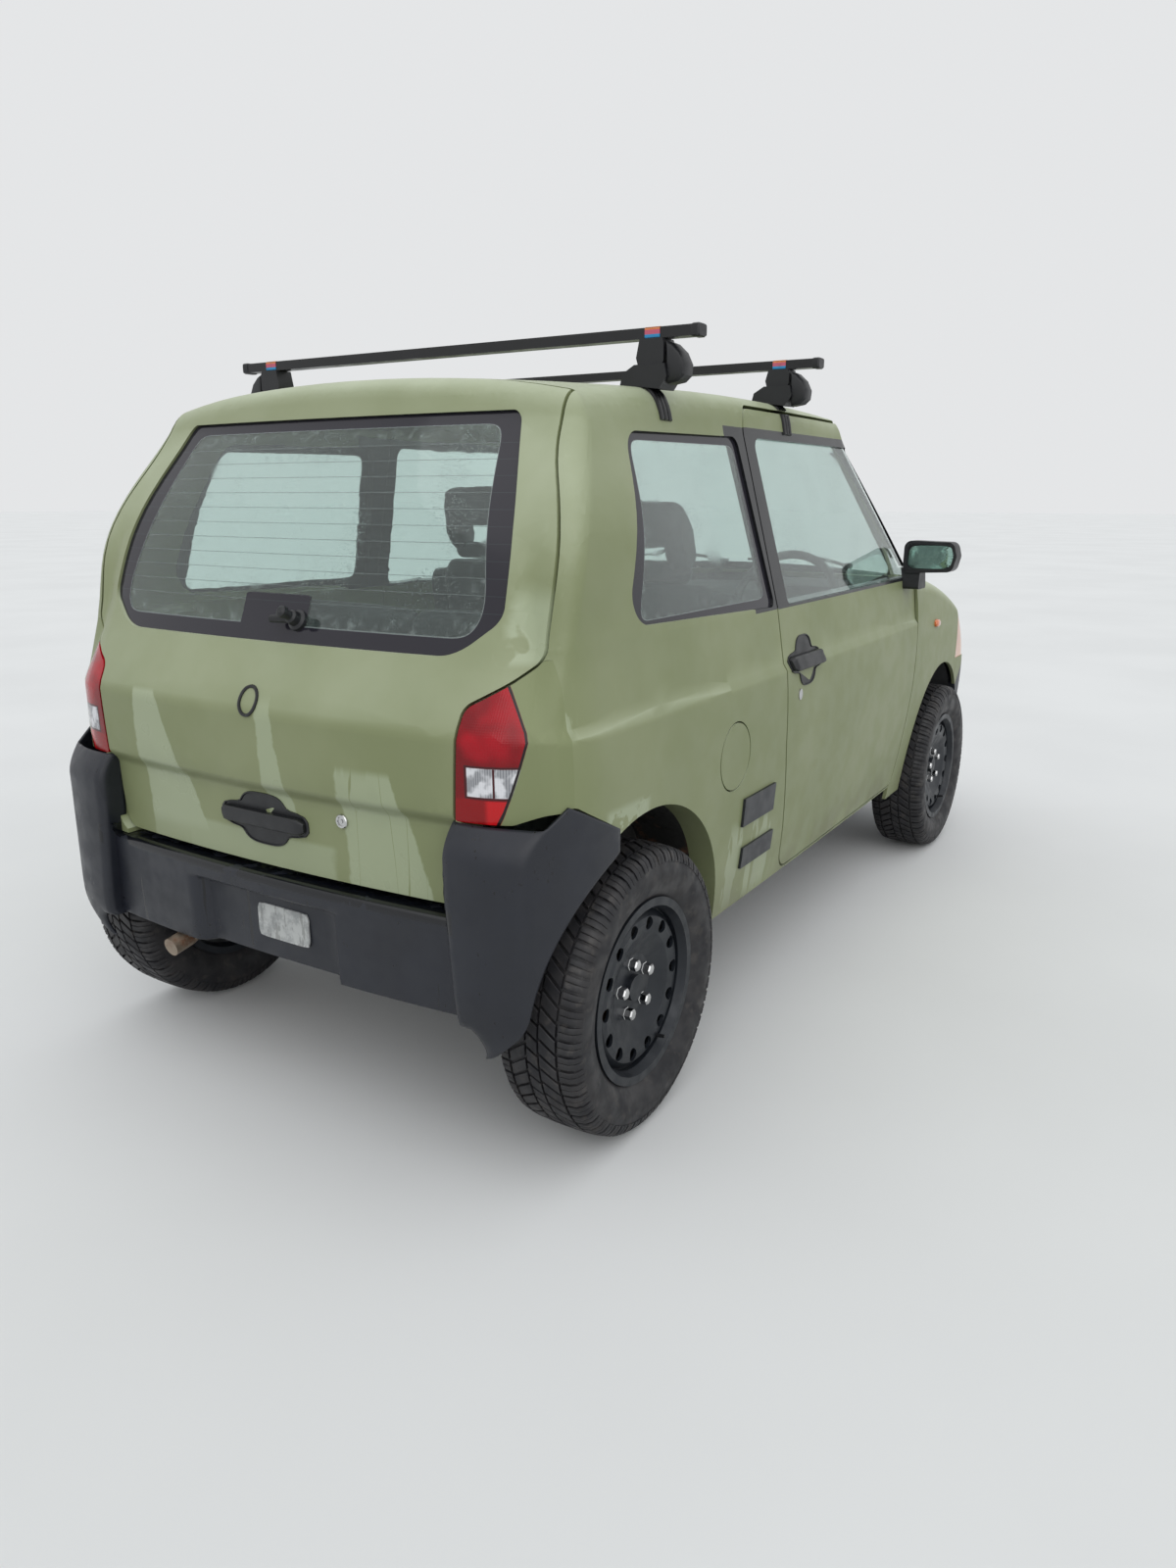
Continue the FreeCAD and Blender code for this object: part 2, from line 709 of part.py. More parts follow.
def build_knuckle():
    x = front_axle_x
    ball_y = kingpin_y(hub_z)
    hub = rod((x, ball_y - 20, hub_z), (x, hub_face_y, hub_z), hub_r)
    brake = rod((x, wheel_y - 20, hub_z), (x, wheel_y - 4, hub_z), 120.0)
    low_z = ball_top + 9
    upright = prism(((x - 26, low_z), (x + 26, low_z), (x + 40, 317), (x + 24, 420), (x - 24, 420), (x - 40, 317)),
                    "y", kingpin_low[0] - 20, kingpin_low[0] + 16)
    pin = rod((x, kingpin_y(ball_top + 2), ball_top + 2), (x, kingpin_y(low_z + 6), low_z + 6), 8)
    clamp = prism(((kingpin_y(420) - 26, 380), (kingpin_low[0] + 16, 380), (kingpin_low[0] + 16, 440),
                   (kingpin_y(480) + 10, 500), (kingpin_y(480) - 26, 500)), "x", x - 20, x + 20)
    strut = rod((x, kingpin_y(440), 440), (x, kingpin_y(tower_z - 34), tower_z - 34), strut_r)
    seat = rod((x, kingpin_y(650), 650), (x, kingpin_y(662), 662), spring_r + 6)
    coils = rod((x, kingpin_y(662), 662), (x, kingpin_y(tower_z - 22), tower_z - 22), spring_r)
    body = fuse([hub, brake, upright, pin, clamp, strut, seat, coils])
    return body.cut(Part.makeSphere(joint_ball_r + 2, Vector(x, ball_y, hub_z)))


def build_front_structure():
    pieces = []
    for sign in (1, -1):
        start = firewall_x + firewall_t + seat_gap
        rail = box(start, 1600, 310 * sign, 366 * sign, 420, 500)
        outline = ((start, 500), (1560, 500), (1560, 760), (1350, 826), (start, 846))
        apron = prism(outline, "y", *sorted((362 * sign, 366 * sign)))
        shelf = box(940, 1210, 366 * sign, 640 * sign, tower_z + 4, tower_z + 10)
        cup = rod((front_axle_x, kingpin_y(tower_z) * sign, tower_z - 20),
                  (front_axle_x, kingpin_y(tower_z) * sign, tower_z + 10), 74.0)
        hole = rod((front_axle_x, kingpin_y(tower_z) * sign, tower_z - 40),
                   (front_axle_x, kingpin_y(tower_z) * sign, tower_z + 4), 68.0)
        pieces += [rail, apron, shelf.cut(hole), cup.cut(hole)]
    cross = box(1000, 1080, -330, 330, 250, 300)
    legs = [box(1000, 1080, 312 * s, 360 * s, 250, 424) for s in (1, -1)]
    beam = box(1570, 1600, -366, 366, 430, 500)
    top = box(1540, 1560, -366, 366, 700, 740)
    return fuse(pieces + legs + [cross, beam, top])


def build_front_arm():
    x = front_axle_x
    arm = prism(((x - 18, 560), (x + 18, 560), (x + 28, 340), (x + 8, 325), (x - 90, 325), (x - 100, 345)),
                "z", 190, 206)
    ball = rod((x, kingpin_low[0], 182), (x, kingpin_low[0], ball_top), 20)
    lug = box(x - 60, x, 300, 340, 190, 250)
    return fuse([arm, ball, prism(((x - 18, 550), (x + 18, 550), (x + 14, 585), (x - 14, 585)), "z", 190, 204),
                 lug])


# Floor section, X and Z, the upper face
FLOOR_LINE = ((798.0, 366.0), (-590.0, 366.0), (-640.0, 500.0), (-1020.0, 500.0), (-1080.0, 556.0),
              (-1636.0, 556.0))
floor_t = 8.0
tunnel_half = 88.0
tunnel_z = 486.0


def build_floor():
    under = [(x, z - floor_t) for x, z in reversed(FLOOR_LINE)]
    plate = prism(list(FLOOR_LINE) + under, "y", -800, 800).common(forms(waist_form, lower_wall))
    plate = plate.cut(box(-640, 800, -tunnel_half, tunnel_half, 300, 480))
    side = floor_t
    tunnel = box(-632, 798, -tunnel_half, tunnel_half, 358, tunnel_z)
    tunnel = tunnel.cut(box(-640, 800, -tunnel_half + side, tunnel_half - side, 300, tunnel_z - side))
    for sign in (1, -1):
        plate = plate.cut(on_side(arch(rear_axle_x, arch_r + house_t + seat_gap, house_y - house_t - seat_gap, 800),
                                  sign))
        plate = plate.cut(on_side(wheel_space(seat_gap), sign))
    return fuse([plate, tunnel])


house_y = 520.0
house_t = 6.0


def build_wheelhouse():
    tub = arch(rear_axle_x, arch_r + house_t, house_y - house_t, 700)
    tub = tub.cut(arch(rear_axle_x, arch_r, house_y, 800))
    tub = tub.common(forms(waist_form, lower_wall + seat_gap))
    tub = tub.common(box(-1800, 0, 0, 800, sill_z, 1200))
    return tub.cut(box(rear_axle_x - 60, rear_axle_x + 60, 500, 530, 300, 400))


def build_liner():
    """Front wheel liner between the side of the engine bay and the wing."""
    shell = arch(front_axle_x, arch_r + liner_t, liner_y, 800).cut(arch(front_axle_x, arch_r, 300, 900))
    shell = shell.common(forms(nose_form, bumper_wall + 1))
    tower = rod((front_axle_x, kingpin_y(tower_z), 600), (front_axle_x, kingpin_y(tower_z), 900), 76.0)
    return shell.common(box(500, 1800, 0, 800, sill_z, 1200)).cut(tower)


axle_tube_r = 36.0


def build_rear_axle():
    x = rear_axle_x
    tube = rod((x, -600, hub_z), (x, 600, hub_z), axle_tube_r)
    drums = [rod((x, (wheel_y - 50) * s, hub_z), (x, hub_face_y * s, hub_z), 110) for s in (1, -1)]
    ball = Part.makeSphere(108, Vector(x, 0, hub_z)).common(box(x - 80, x + 120, -120, 120, 200, 450))
    nose_piece = rod((x + 60, 0, hub_z + 8), (x + 190, 0, hub_z + 18), 34)
    return fuse([tube] + drums + [ball, nose_piece])


def build_rear_suspension():
    """Spring seats over the axle tube, and trailing arms and dampers on saddles below it."""
    x = rear_axle_x
    over = hub_z + axle_tube_r + seat_gap
    under = hub_z - axle_tube_r - seat_gap
    coil_top = FLOOR_LINE[-1][1] - floor_t - seat_gap
    pieces = []
    for s in (1, -1):
        foot = box(x - 80, x + 100, 380 * s, 490 * s, over, over + 8)
        pan = rod((x + 60, 400 * s, over), (x + 60, 400 * s, over + 20), 60)
        coil = rod((x + 60, 400 * s, over + 10), (x + 60, 400 * s, coil_top), 52)
        saddle = box(x - 90, x + 90, 440 * s, 500 * s, under - 42, under)
        arm = rod((x + 50, 470 * s, 266), (x + 420, 480 * s, 352), 16)
        damper = rod((x - 60, 470 * s, 250), (x - 150, 470 * s, 540), 20)
        pieces += [fuse([foot, pan, coil]), fuse([saddle, arm, damper])]
    return pieces


# Things inside
seat_y = 335.0
cushion_z = 690.0
wheel_centre = (335.0, -345.0, 985.0)
wheel_rim_r = 178.0
wheel_tilt = 24.0


def build_dashboard():
    section = ((520.0, 1012.0), (470.0, 985.0), (462.0, 940.0), (520.0, 890.0), (560.0, 760.0), (650.0, 700.0),
               (799.0, 700.0), (799.0, 990.0), (710.0, 1005.0), (640.0, 1034.0))
    plan = ((440.0, 625.0), (550.0, 625.0), (640.0, 586.0), (firewall_x - 1, 586.0))
    dash = prism(section, "y", -628, 628).common(prism(both_sides(plan), "z", 600, 1100))
    axis = wheel_axis()
    start = Vector(*wheel_centre) + axis * 36
    column = Part.makeCylinder(30, 230, start, axis)
    hood = prism(((470.0, 1010.0), (440.0, 1040.0), (560.0, 1060.0), (640.0, 1030.0)), "y",
                 wheel_centre[1] - 150, wheel_centre[1] + 150)
    return fuse([dash, column, hood])


def wheel_axis():
    """From the driver's side of the steering wheel down along the column."""
    a = math.radians(wheel_tilt)
    return Vector(math.cos(a), 0, -math.sin(a))


def build_steering_wheel():
    axis = wheel_axis()
    centre = Vector(*wheel_centre)
    ring = Part.makeTorus(wheel_rim_r, 14, centre, axis)
    hub = Part.makeCylinder(62, 40, centre - axis * 6, axis)
    stub = Part.makeCylinder(22, 36 - seat_gap, centre, axis)
    spokes = []
    up = Vector(math.sin(math.radians(wheel_tilt)), 0, math.cos(math.radians(wheel_tilt)))
    for a in (0, 180, 270):
        way = Vector(0, math.cos(math.radians(a)), 0) + up * math.sin(math.radians(a))
        spokes.append(Part.makeCylinder(13, wheel_rim_r - 45, centre + way * 45 + axis * 8, way))
    return fuse([ring, hub, stub] + spokes)


def build_front_seat(sign):
    y0, y1 = sorted(((seat_y - 235) * sign, (seat_y + 235) * sign))
    base = rounded(((-330.0, 420.0), (120.0, 420.0), (140.0, 660.0), (90.0, cushion_z), (-320.0, 640.0)),
                   (20.0, 20.0, 50.0, 40.0, 20.0), "y", y0, y1)
    back = rounded(((-330.0, 560.0), (-200.0, 600.0), (-330.0, 1180.0), (-400.0, 1212.0), (-450.0, 1160.0)),
                   (30.0, 40.0, 40.0, 30.0, 30.0), "y", y0 + 5, y1 - 5)
    head = rounded(((-470.0, 1245.0), (-385.0, 1245.0), (-400.0, 1400.0), (-470.0, 1410.0)), 28.0, "y",
                   seat_y * sign - 130, seat_y * sign + 130)
    posts = [rod((-405, seat_y * sign + d, 1180), (-425, seat_y * sign + d, 1260), 6) for d in (-60, 60)]
    rails = [box(-300, 120, seat_y * sign + d - 15, seat_y * sign + d + 15, 366, 425) for d in (-170, 170)]
    return fuse([base, back, head] + posts + rails)


def build_rear_bench():
    cushion = rounded(((-1015.0, 500.3), (-640.0, 500.3), (-620.0, 640.0), (-680.0, 672.0), (-1040.0, 640.0),
                       (-1060.0, 560.0)), (0.0, 20.0, 50.0, 30.0, 10.0, 0.0), "y", -505, 505)
    back = rounded(((-1100.0, 590.0), (-990.0, 620.0), (-1130.0, 1090.0), (-1190.0, 1110.0), (-1225.0, 1070.0)),
                   (20.0, 30.0, 30.0, 30.0, 30.0), "y", -505, 505)
    heads = []
    for y in (-270, 270):
        heads.append(rounded(((-1215.0, 1140.0), (-1140.0, 1140.0), (-1150.0, 1262.0), (-1215.0, 1268.0)), 24.0,
                             "y", y - 115, y + 115))
        heads += [rod((-1165, y + d, 1080), (-1180, y + d, 1150), 6) for d in (-50, 50)]
    return fuse([cushion, back] + heads)


# Roof bars
BARS = (-1006.0, -318.0)
bar_z = 1673.0
bar_half = 678.0
bar_size = (34.0, 22.0)
foot_y = 575.0


def build_roof_bar(x):
    w, h = bar_size
    return box(x - w / 2, x + w / 2, -bar_half, bar_half, bar_z - h / 2, bar_z + h / 2)


def build_rack_foot(x):
    w, h = bar_size
    post = rounded(((foot_y - 40, 1540.0), (foot_y + 40, 1500.0), (foot_y + 34, bar_z - h / 2 - seat_gap),
                    (foot_y - 26, bar_z - h / 2 - seat_gap)), (6.0, 6.0, 10.0, 10.0), "x", x - 42, x + 42)
    clear = forms(cabin_form, -2.0)
    post = post.cut(clear)
    strap = forms(cabin_form, -6.0).common(box(x - 22, x + 22, foot_y - 50, 800, 1497, 1600)).cut(clear)
    return fuse([post, strap])


def build_mirror():
    shell_part = rounded(((688.0, 1092.0), (850.0, 1100.0), (862.0, 1150.0), (850.0, 1195.0), (690.0, 1199.0)),
                         (24.0, 24.0, 30.0, 24.0, 24.0), "x", 520.0, 596.0)
    shell_part = shell_part.makeFillet(12.0, [e for e in shell_part.Edges if e.BoundBox.XMin > 590])
    shell_part = shell_part.cut(rounded(((700.0, 1104.0), (842.0, 1112.0), (852.0, 1150.0), (842.0, 1184.0),
                                         (702.0, 1188.0)), 18.0, "x", 519.0, 528.0))
    foot = rounded(((520.0, 1040.0), (610.0, 1040.0), (590.0, 1110.0), (530.0, 1110.0)), 8.0, "y", 660.0, 760.0)
    foot = foot.cut(forms(left_body, -seat_gap)).common(box(500, 700, 600, 745, 1000, 1200))
    arm = box(535, 585, 700, 735, 1096, 1112).cut(forms(left_body, -seat_gap))
    return fuse([shell_part, foot, arm])


def build_door_handle():
    bar = box(-495, -365, 744, 760, 906, 926)
    posts = [box(x - 9, x + 9, 720, 746, 908, 924) for x in (-486, -374)]
    clear = forms(left_body, -seat_gap)
    lock = rod((-487, 700, 839), (-487, 745, 839), 11)
    return [fuse([bar] + posts).cut(clear), lock.cut(clear)]


def build_tailgate_trim():
    clear = forms(waist_form, -seat_gap)
    outline = ((-136.0, 668.0), (126.0, 668.0), (118.0, 742.0), (-128.0, 742.0))
    grip = rounded(outline, 14.0, "x", -1712.0, -1600.0)
    grip = grip.cut(clear).common(box(-1697, -1500, -300, 300, 600, 800))
    stub = rod((-1626, -74, 1096), (-1560, -74, 1096), 16).cut(forms(cabin_form, -seat_gap))
    lock = rod((-1697, -231, 711), (-1600, -231, 711), 13).cut(clear)
    return [grip, stub, lock]


def build_exhaust():
    front = bent_tube(((900, 160, 310), (-900, 290, 300), (-1120, 326, 424), (-1420, 326, 424)), 20, 90)
    silencer = rounded(((-1600.0, 140.0), (-1400.0, 140.0), (-1400.0, 420.0), (-1600.0, 420.0)),
                       (50.0, 50.0, 50.0, 50.0), "z", 372, 476)
    tail = bent_tube(((-1580, 318, 424), (-1625, 318, 335), (-1690, 318, 322)), 22, 40)
    return fuse([front, silencer, tail])


fuel_centre = (-884.0, 751.0)
fuel_r = 84.0
fuel_depth = 40.0
fuel_skin = 5.0
fuel_gap = 4.0


def fuel_bar(r):
    return rod((fuel_centre[0], 600, fuel_centre[1]), (fuel_centre[0], 800, fuel_centre[1]), r)


def build_fuel_lid():
    return forms(waist_form, 0).common(fuel_bar(fuel_r - fuel_gap)).cut(forms(waist_form, fuel_skin))


def build_all():
    frame = build_side_frames()
    keep("side_frame_left", frame)
    pocket = fuel_bar(fuel_r).cut(forms(waist_form, fuel_depth))
    cap = rod((fuel_centre[0], half_width - fuel_depth - 2, fuel_centre[1]),
              (fuel_centre[0], half_width - 14, fuel_centre[1]), 32)
    keep("side_frame_right", mirror(fuse([frame.cut(pocket), cap])))
    keep("fuel_lid", mirror(build_fuel_lid()))
    keep_pair("fender", build_fender())
    keep("bonnet_panel", build_bonnet())
    keep("cowl_firewall", build_cowl())
    keep("roof_panel", build_roof())
    keep_pair("door_panel", build_door())
    keep_pair("door_glass", pane(door_glass_block(-seat_gap)))
    quarter = pane(quarter_glass_block(-seat_gap))
    keep("quarter_windows", Part.makeCompound([quarter, mirror(quarter)]))
    keep("tailgate_glass", pane(rear_glass_block(-seat_gap)))
    keep("windscreen", pane(screen_block(-seat_gap)))
    keep("tailgate_panel", build_tailgate())
    lamp = build_tail_lamp()
    keep("tail_lamps", Part.makeCompound([lamp, mirror(lamp)]))
    keep("rear_bumper", build_rear_bumper())
    keep("front_bumper", build_front_bumper())
    keep("grille", build_grille())
    lamp = build_headlamp()
    keep("headlamps", Part.makeCompound([lamp, mirror(lamp)]))
    for end, x in AXLES:
        tyre = build_tyre(x)
        rim = build_rim(x)
        for side, sign in SIDES:
            keep("tyre_" + end + "_" + side, on_side(tyre, sign))
            keep("rim_" + end + "_" + side, on_side(rim, sign))
    keep_pair("knuckle", build_knuckle())
    keep("front_structure", build_front_structure())
    arm = build_front_arm()
    keep("front_arms", Part.makeCompound([arm, mirror(arm)]))
    keep("floor_pan", build_floor())
    house = build_wheelhouse()
    keep("wheelhouses", Part.makeCompound([house, mirror(house)]))
    liner = build_liner()
    keep("front_liners", Part.makeCompound([liner, mirror(liner)]))
    keep("rear_axle", build_rear_axle())
    keep("rear_suspension", Part.makeCompound(build_rear_suspension()))
    keep("dashboard", build_dashboard())
    keep("steering_wheel", build_steering_wheel())
    keep("front_seats", Part.makeCompound([build_front_seat(s) for side, s in SIDES]))
    keep("rear_bench", build_rear_bench())
    keep("roof_bars", Part.makeCompound([build_roof_bar(x) for x in BARS]))
    feet = []
    for x in BARS:
        foot = build_rack_foot(x)
        feet += [foot, mirror(foot)]
    keep("rack_feet", Part.makeCompound(feet))
    keep_pair("mirror", build_mirror())
    keep_pair("door_handle", Part.makeCompound(build_door_handle()))
    keep("tailgate_trim", Part.makeCompound(build_tailgate_trim()))
    keep("engine_block", fuse([box(880, 1330, -290, 290, 380, 800), box(850, 1200, -290, -60, 300, 420)]))
    keep("radiator", box(1600.3, 1622, -250, 250, 420, 720).cut(box(1500, 1700, -300, 300, 430, 500)))
    keep("propshaft", fuse([rod((850, 0, 400), (-1096, 0, 337), 28)]))
    keep("fuel_tank", rounded(((-1010.0, -260.0), (-660.0, -260.0), (-660.0, 230.0), (-1010.0, 230.0)), 40.0,
                              "z", 320, 470).cut(rod((900, 0, 402), (-1296, 0, 331), 60)))
    keep("exhaust", build_exhaust())
    vents = []
    for x0, x1, z0, z1 in ((-820, -630, 560, 632), (-800, -610, 445, 500)):
        plate = forms(waist_form, -7.0).common(box(x0, x1, 600, 800, z0, z1))
        plate = plate.cut(forms(waist_form, -seat_gap))
        vents.append(mirror(plate))
    keep("side_vents", Part.makeCompound(vents))


def save_all():
    os.makedirs("parts", exist_ok=True)
    for name, shape in parts.items():
        shape.exportStep("parts/" + name + ".step")


if __name__ == "__main__":
    build_all()
    save_all()
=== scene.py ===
from functools import reduce
from math import copysign, cos, dist, hypot, pi, radians, sin, sqrt, tau

import bmesh
import bpy
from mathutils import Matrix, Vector
from mathutils.bvhtree import BVHTree


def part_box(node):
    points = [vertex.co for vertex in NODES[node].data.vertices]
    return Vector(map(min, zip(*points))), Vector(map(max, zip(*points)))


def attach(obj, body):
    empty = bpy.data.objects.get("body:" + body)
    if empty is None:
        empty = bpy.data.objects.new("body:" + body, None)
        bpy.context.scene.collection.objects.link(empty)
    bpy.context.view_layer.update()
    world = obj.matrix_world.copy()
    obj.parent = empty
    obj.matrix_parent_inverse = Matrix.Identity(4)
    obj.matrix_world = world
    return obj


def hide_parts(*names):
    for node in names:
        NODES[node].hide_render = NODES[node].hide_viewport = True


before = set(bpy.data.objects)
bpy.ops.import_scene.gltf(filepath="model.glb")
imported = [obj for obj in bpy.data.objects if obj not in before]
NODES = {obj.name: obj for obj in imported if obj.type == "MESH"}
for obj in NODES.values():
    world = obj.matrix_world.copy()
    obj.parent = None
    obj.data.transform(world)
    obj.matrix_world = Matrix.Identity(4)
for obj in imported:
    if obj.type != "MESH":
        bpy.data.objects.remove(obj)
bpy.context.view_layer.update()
scene = bpy.context.scene


# Materials

def srgb(*color):
    return tuple(((c / 255 + 0.055) / 1.055) ** 2.4 if c > 10 else c / 255 / 12.92 for c in color) + (1,)


def darker(color, share):
    return tuple(c * share for c in color[:3]) + (1,)


class Nodes:
    """A material's node tree with short ways to add and link nodes."""

    def __init__(self, name):
        self.mat = bpy.data.materials.new(name)
        self.mat.use_nodes = True
        self.tree = self.mat.node_tree
        self.tree.nodes.clear()
        self.out = self.add("OutputMaterial")
        self.bsdf = self.add("BsdfPrincipled")
        self.link(self.bsdf.outputs[0], self.out.inputs[0])
        self.place = self.add("TexCoord").outputs["Object"]
        self.x, self.y, self.z = self.add("SeparateXYZ", {0: self.place}).outputs

    def link(self, a, b):
        self.tree.links.new(a, b)

    def put(self, socket, value):
        if hasattr(value, "is_output"):
            self.link(value, socket)
        elif value is not None:
            socket.default_value = value

    def add(self, kind, values=None, **settings):
        node = self.tree.nodes.new("ShaderNode" + kind)
        for key, value in settings.items():
            setattr(node, key, value)
        for key, value in (values or {}).items():
            self.put(node.inputs[key], value)
        return node

    def math(self, op, a, b=None, c=None):
        return self.add("Math", dict(enumerate((a, b, c))), operation=op).outputs[0]

    def times(self, *values):
        return reduce(lambda a, b: self.math("MULTIPLY", a, b), values)

    def most(self, *values):
        return reduce(lambda a, b: self.math("MAXIMUM", a, b), values)

    def rest(self, value):
        return self.math("SUBTRACT", 1.0, value)

    def size(self, value):
        return self.math("ABSOLUTE", value)

    def ribs(self, value, pitch):
        """Rounded ribs side by side."""
        return self.size(self.math("SINE", self.times(value, pi / pitch)))

    def plus(self, value, share, start):
        """start + share x value"""
        return self.math("MULTIPLY_ADD", value, share, start)

    def line(self, a, u, b, v, c):
        """a u + b v + c"""
        return self.plus(v, b, self.plus(u, a, c))

    def stretched(self, stretch):
        if not stretch:
            return self.place
        return self.add("Mapping", {"Vector": self.place, "Scale": stretch}).outputs[0]

    def noise(self, scale, detail=3, rough=0.5, stretch=None):
        values = {"Vector": self.stretched(stretch), "Scale": scale, "Detail": detail, "Roughness": rough}
        return self.add("TexNoise", values).outputs[0]

    def cells(self, scale, stretch=None):
        values = {"Vector": self.stretched(stretch), "Scale": scale}
        return self.add("TexVoronoi", values).outputs["Distance"]

    def span(self, value, a, b, to_a=0.0, to_b=1.0):
        """value from a..b spread smoothly over to_a..to_b."""
        values = dict(enumerate((value, a, b, to_a, to_b)))
        return self.add("MapRange", values, interpolation_type="SMOOTHSTEP").outputs[0]

    def cloud(self, scale, detail, a, b, to_a=0.0, to_b=1.0):
        """Noise from a..b spread smoothly over to_a..to_b."""
        return self.span(self.noise(scale, detail), a, b, to_a, to_b)

    def band(self, value, a, b, soft):
        """1 between a and b, with soft ends."""
        return self.times(self.span(value, a - soft, a + soft), self.span(value, b + soft, b - soft))

    def mix(self, share, a, b):
        return self.add("Mix", {0: share, 6: a, 7: b}, data_type="RGBA").outputs[2]

    def inside(self, corners, u, v):
        """How far a point lies inside a convex outline, less than 0 outside it."""
        middle = [sum(places) / len(corners) for places in zip(*corners)]
        edges = []
        for (u0, v0), (u1, v1) in zip(corners, corners[1:] + corners[:1]):
            length = hypot(u1 - u0, v1 - v0)
            a, b = (v0 - v1) / length, (u1 - u0) / length
            c = -(a * u0 + b * v0)
            if a * middle[0] + b * middle[1] + c < 0:
                a, b, c = -a, -b, -c
            edges.append(self.line(a, u, b, v, c))
        return reduce(lambda p, q: self.math("SMOOTH_MIN", p, q, 0.05), edges)

    def bump(self, height, strength, distance):
        return self.add("Bump", {"Height": height, "Strength": strength, "Distance": distance}).outputs[0]

    def grain(self, scale, detail, strength, distance):
        return self.bump(self.noise(scale, detail), strength, distance)

    def finish(self, color, rough, metal=0.0, normal=None, **more):
        names = {"coat": "Coat Weight", "coat_rough": "Coat Roughness", "glass": "Transmission Weight",
                 "ior": "IOR", "spec": "Specular IOR Level", "sheen": "Sheen Weight"}
        values = {"Base Color": color, "Roughness": rough, "Metallic": metal, "Normal": normal}
        values.update({names[key]: value for key, value in more.items()})
        for key, value in values.items():
            self.put(self.bsdf.inputs[key], value)
        return self.mat


GREEN = srgb(136, 144, 104)
GREEN_PALE = srgb(145, 152, 114)
STAIN = srgb(172, 182, 150)
BLACK_TRIM = srgb(26, 27, 30)


def tailgate_stain(n, wobble):
    """Pale water marks: a wide one at the left, one under the badge and thin drips at the right."""
    y = n.math("ADD", n.y, wobble)
    left = n.times(n.span(y, 0.395, 0.388), n.span(n.line(1.0, y, -0.42, n.z, 0.08), -0.002, 0.004),
                   n.span(n.z, 0.935, 0.92), n.span(n.z, 0.6, 0.64, 0.55, 1.0))
    under = n.times(n.span(n.line(1.0, y, -0.17, n.z, 0.222), -0.002, 0.003), n.span(y, -0.022, -0.028),
                    n.span(n.z, 0.965, 0.9), n.span(n.z, 0.665, 0.72))
    hem = n.times(n.span(n.z, 0.655, 0.64), n.band(y, -0.2, 0.26, 0.01), 0.7)
    right = n.times(n.span(n.line(1.0, y, -0.3, n.z, 0.62), -0.002, 0.004), n.span(y, -0.232, -0.24),
                    n.span(n.z, 0.835, 0.815))
    streaks = n.noise(1.0, 2, 0.4, stretch=(1, 46, 2.2))
    tips = n.times(n.span(streaks, 0.5, 0.53), n.span(n.z, 0.8, 0.85))
    threads = n.math("SUBTRACT", n.noise(1.0, 1, 0.3, stretch=(1, 34, 1.3)), 0.5)
    lines = n.span(n.size(threads), 0.004, 0.01)
    right = n.times(right, n.rest(n.times(tips, 0.8)), lines)
    lamp = n.times(n.span(n.math("ADD", n.noise(7.0, 3), n.times(wobble, 4.0)), 0.46, 0.49),
                   n.span(n.z, 1.035, 1.055), n.span(n.z, 1.2, 1.14), n.span(y, -0.565, -0.59))
    return n.most(left, under, hem, right, lamp)


def side_stain(n, wobble):
    """Small pale marks beside the lamp, over the arch and round the vents."""
    x = n.math("ADD", n.x, wobble)
    drips = n.span(n.noise(1.0, 3, 0.6, stretch=(40, 1, 7)), 0.56, 0.6)
    lamp = n.times(drips, n.span(x, -1.52, -1.56), n.span(n.line(1.0, n.z, -0.55, x, -1.84), 0.03, 0.0),
                   n.span(n.z, 0.9, 0.94))
    arch = n.times(n.band(x, -1.46, -1.3, 0.012), n.span(n.z, 0.765, 0.745), n.cloud(18, 3, 0.4, 0.44))
    spots = n.noise(1.0, 3, 0.6, stretch=(22, 1, 5))
    foot = n.times(n.span(spots, 0.5, 0.54), n.band(x, -0.93, -0.58, 0.02),
                   n.band(n.z, 0.36, 0.56, 0.03), 0.8)
    return n.most(lamp, arch, foot)


def paint(name, marks=None, window=False):
    """Matt faded paint with stains, dust and a painted sky sheen on upward faces and, beside the windows,
    black frames.
    """
    n = Nodes(name)
    color = n.mix(n.cloud(3.1, 4, 0.35, 0.7), GREEN, GREEN_PALE)
    rough = n.cloud(14, 3, 0.3, 0.7, 0.4, 0.5)
    wobble = n.times(n.math("SUBTRACT", n.noise(24, 3, 0.6), 0.5), 0.022)
    if marks:
        wet = marks(n, wobble)
        color = n.mix(n.times(wet, 0.85), color, STAIN)
        rough = n.math("SUBTRACT", rough, n.times(wet, 0.14))
    speck = n.times(n.span(n.cells(210), 0.11, 0.05), n.cloud(2.0, 2, 0.45, 0.6), 0.3)
    color = n.mix(speck, color, darker(GREEN, 0.78))
    # Upward faces paler: partly dust, partly a painted sheen of sky light on the top surfaces
    facing = n.add("SeparateXYZ", {0: n.place.node.outputs["Normal"]}).outputs[2]
    dust_and_sky_sheen = n.times(n.span(facing, 0.12, 0.85), n.cloud(5, 4, 0.25, 0.75, 0.6, 1.0))
    color = n.mix(n.times(dust_and_sky_sheen, 0.75), color, srgb(198, 206, 180))
    dirt = n.times(n.span(n.z, 0.5, 0.34), n.cloud(9, 4, 0.35, 0.65), 0.4)
    color = n.mix(dirt, color, srgb(108, 106, 84))
    if window:
        if marks:
            black = n.times(n.band(n.x, -0.72, -0.5, 0.0005), n.band(n.z, 1.067, 1.503, 0.0005))
        else:
            frame_line = n.inside(DOOR_PANE, n.x, n.z)
            black = n.times(n.span(frame_line, -0.0235, -0.0225), n.span(n.z, 1.0655, 1.0665))
        color = n.mix(black, color, BLACK_TRIM)
        rough = n.plus(black, -0.24, rough)
    return n.finish(color, rough, normal=n.grain(420, 2, 0.05, 0.0006), spec=0.45)


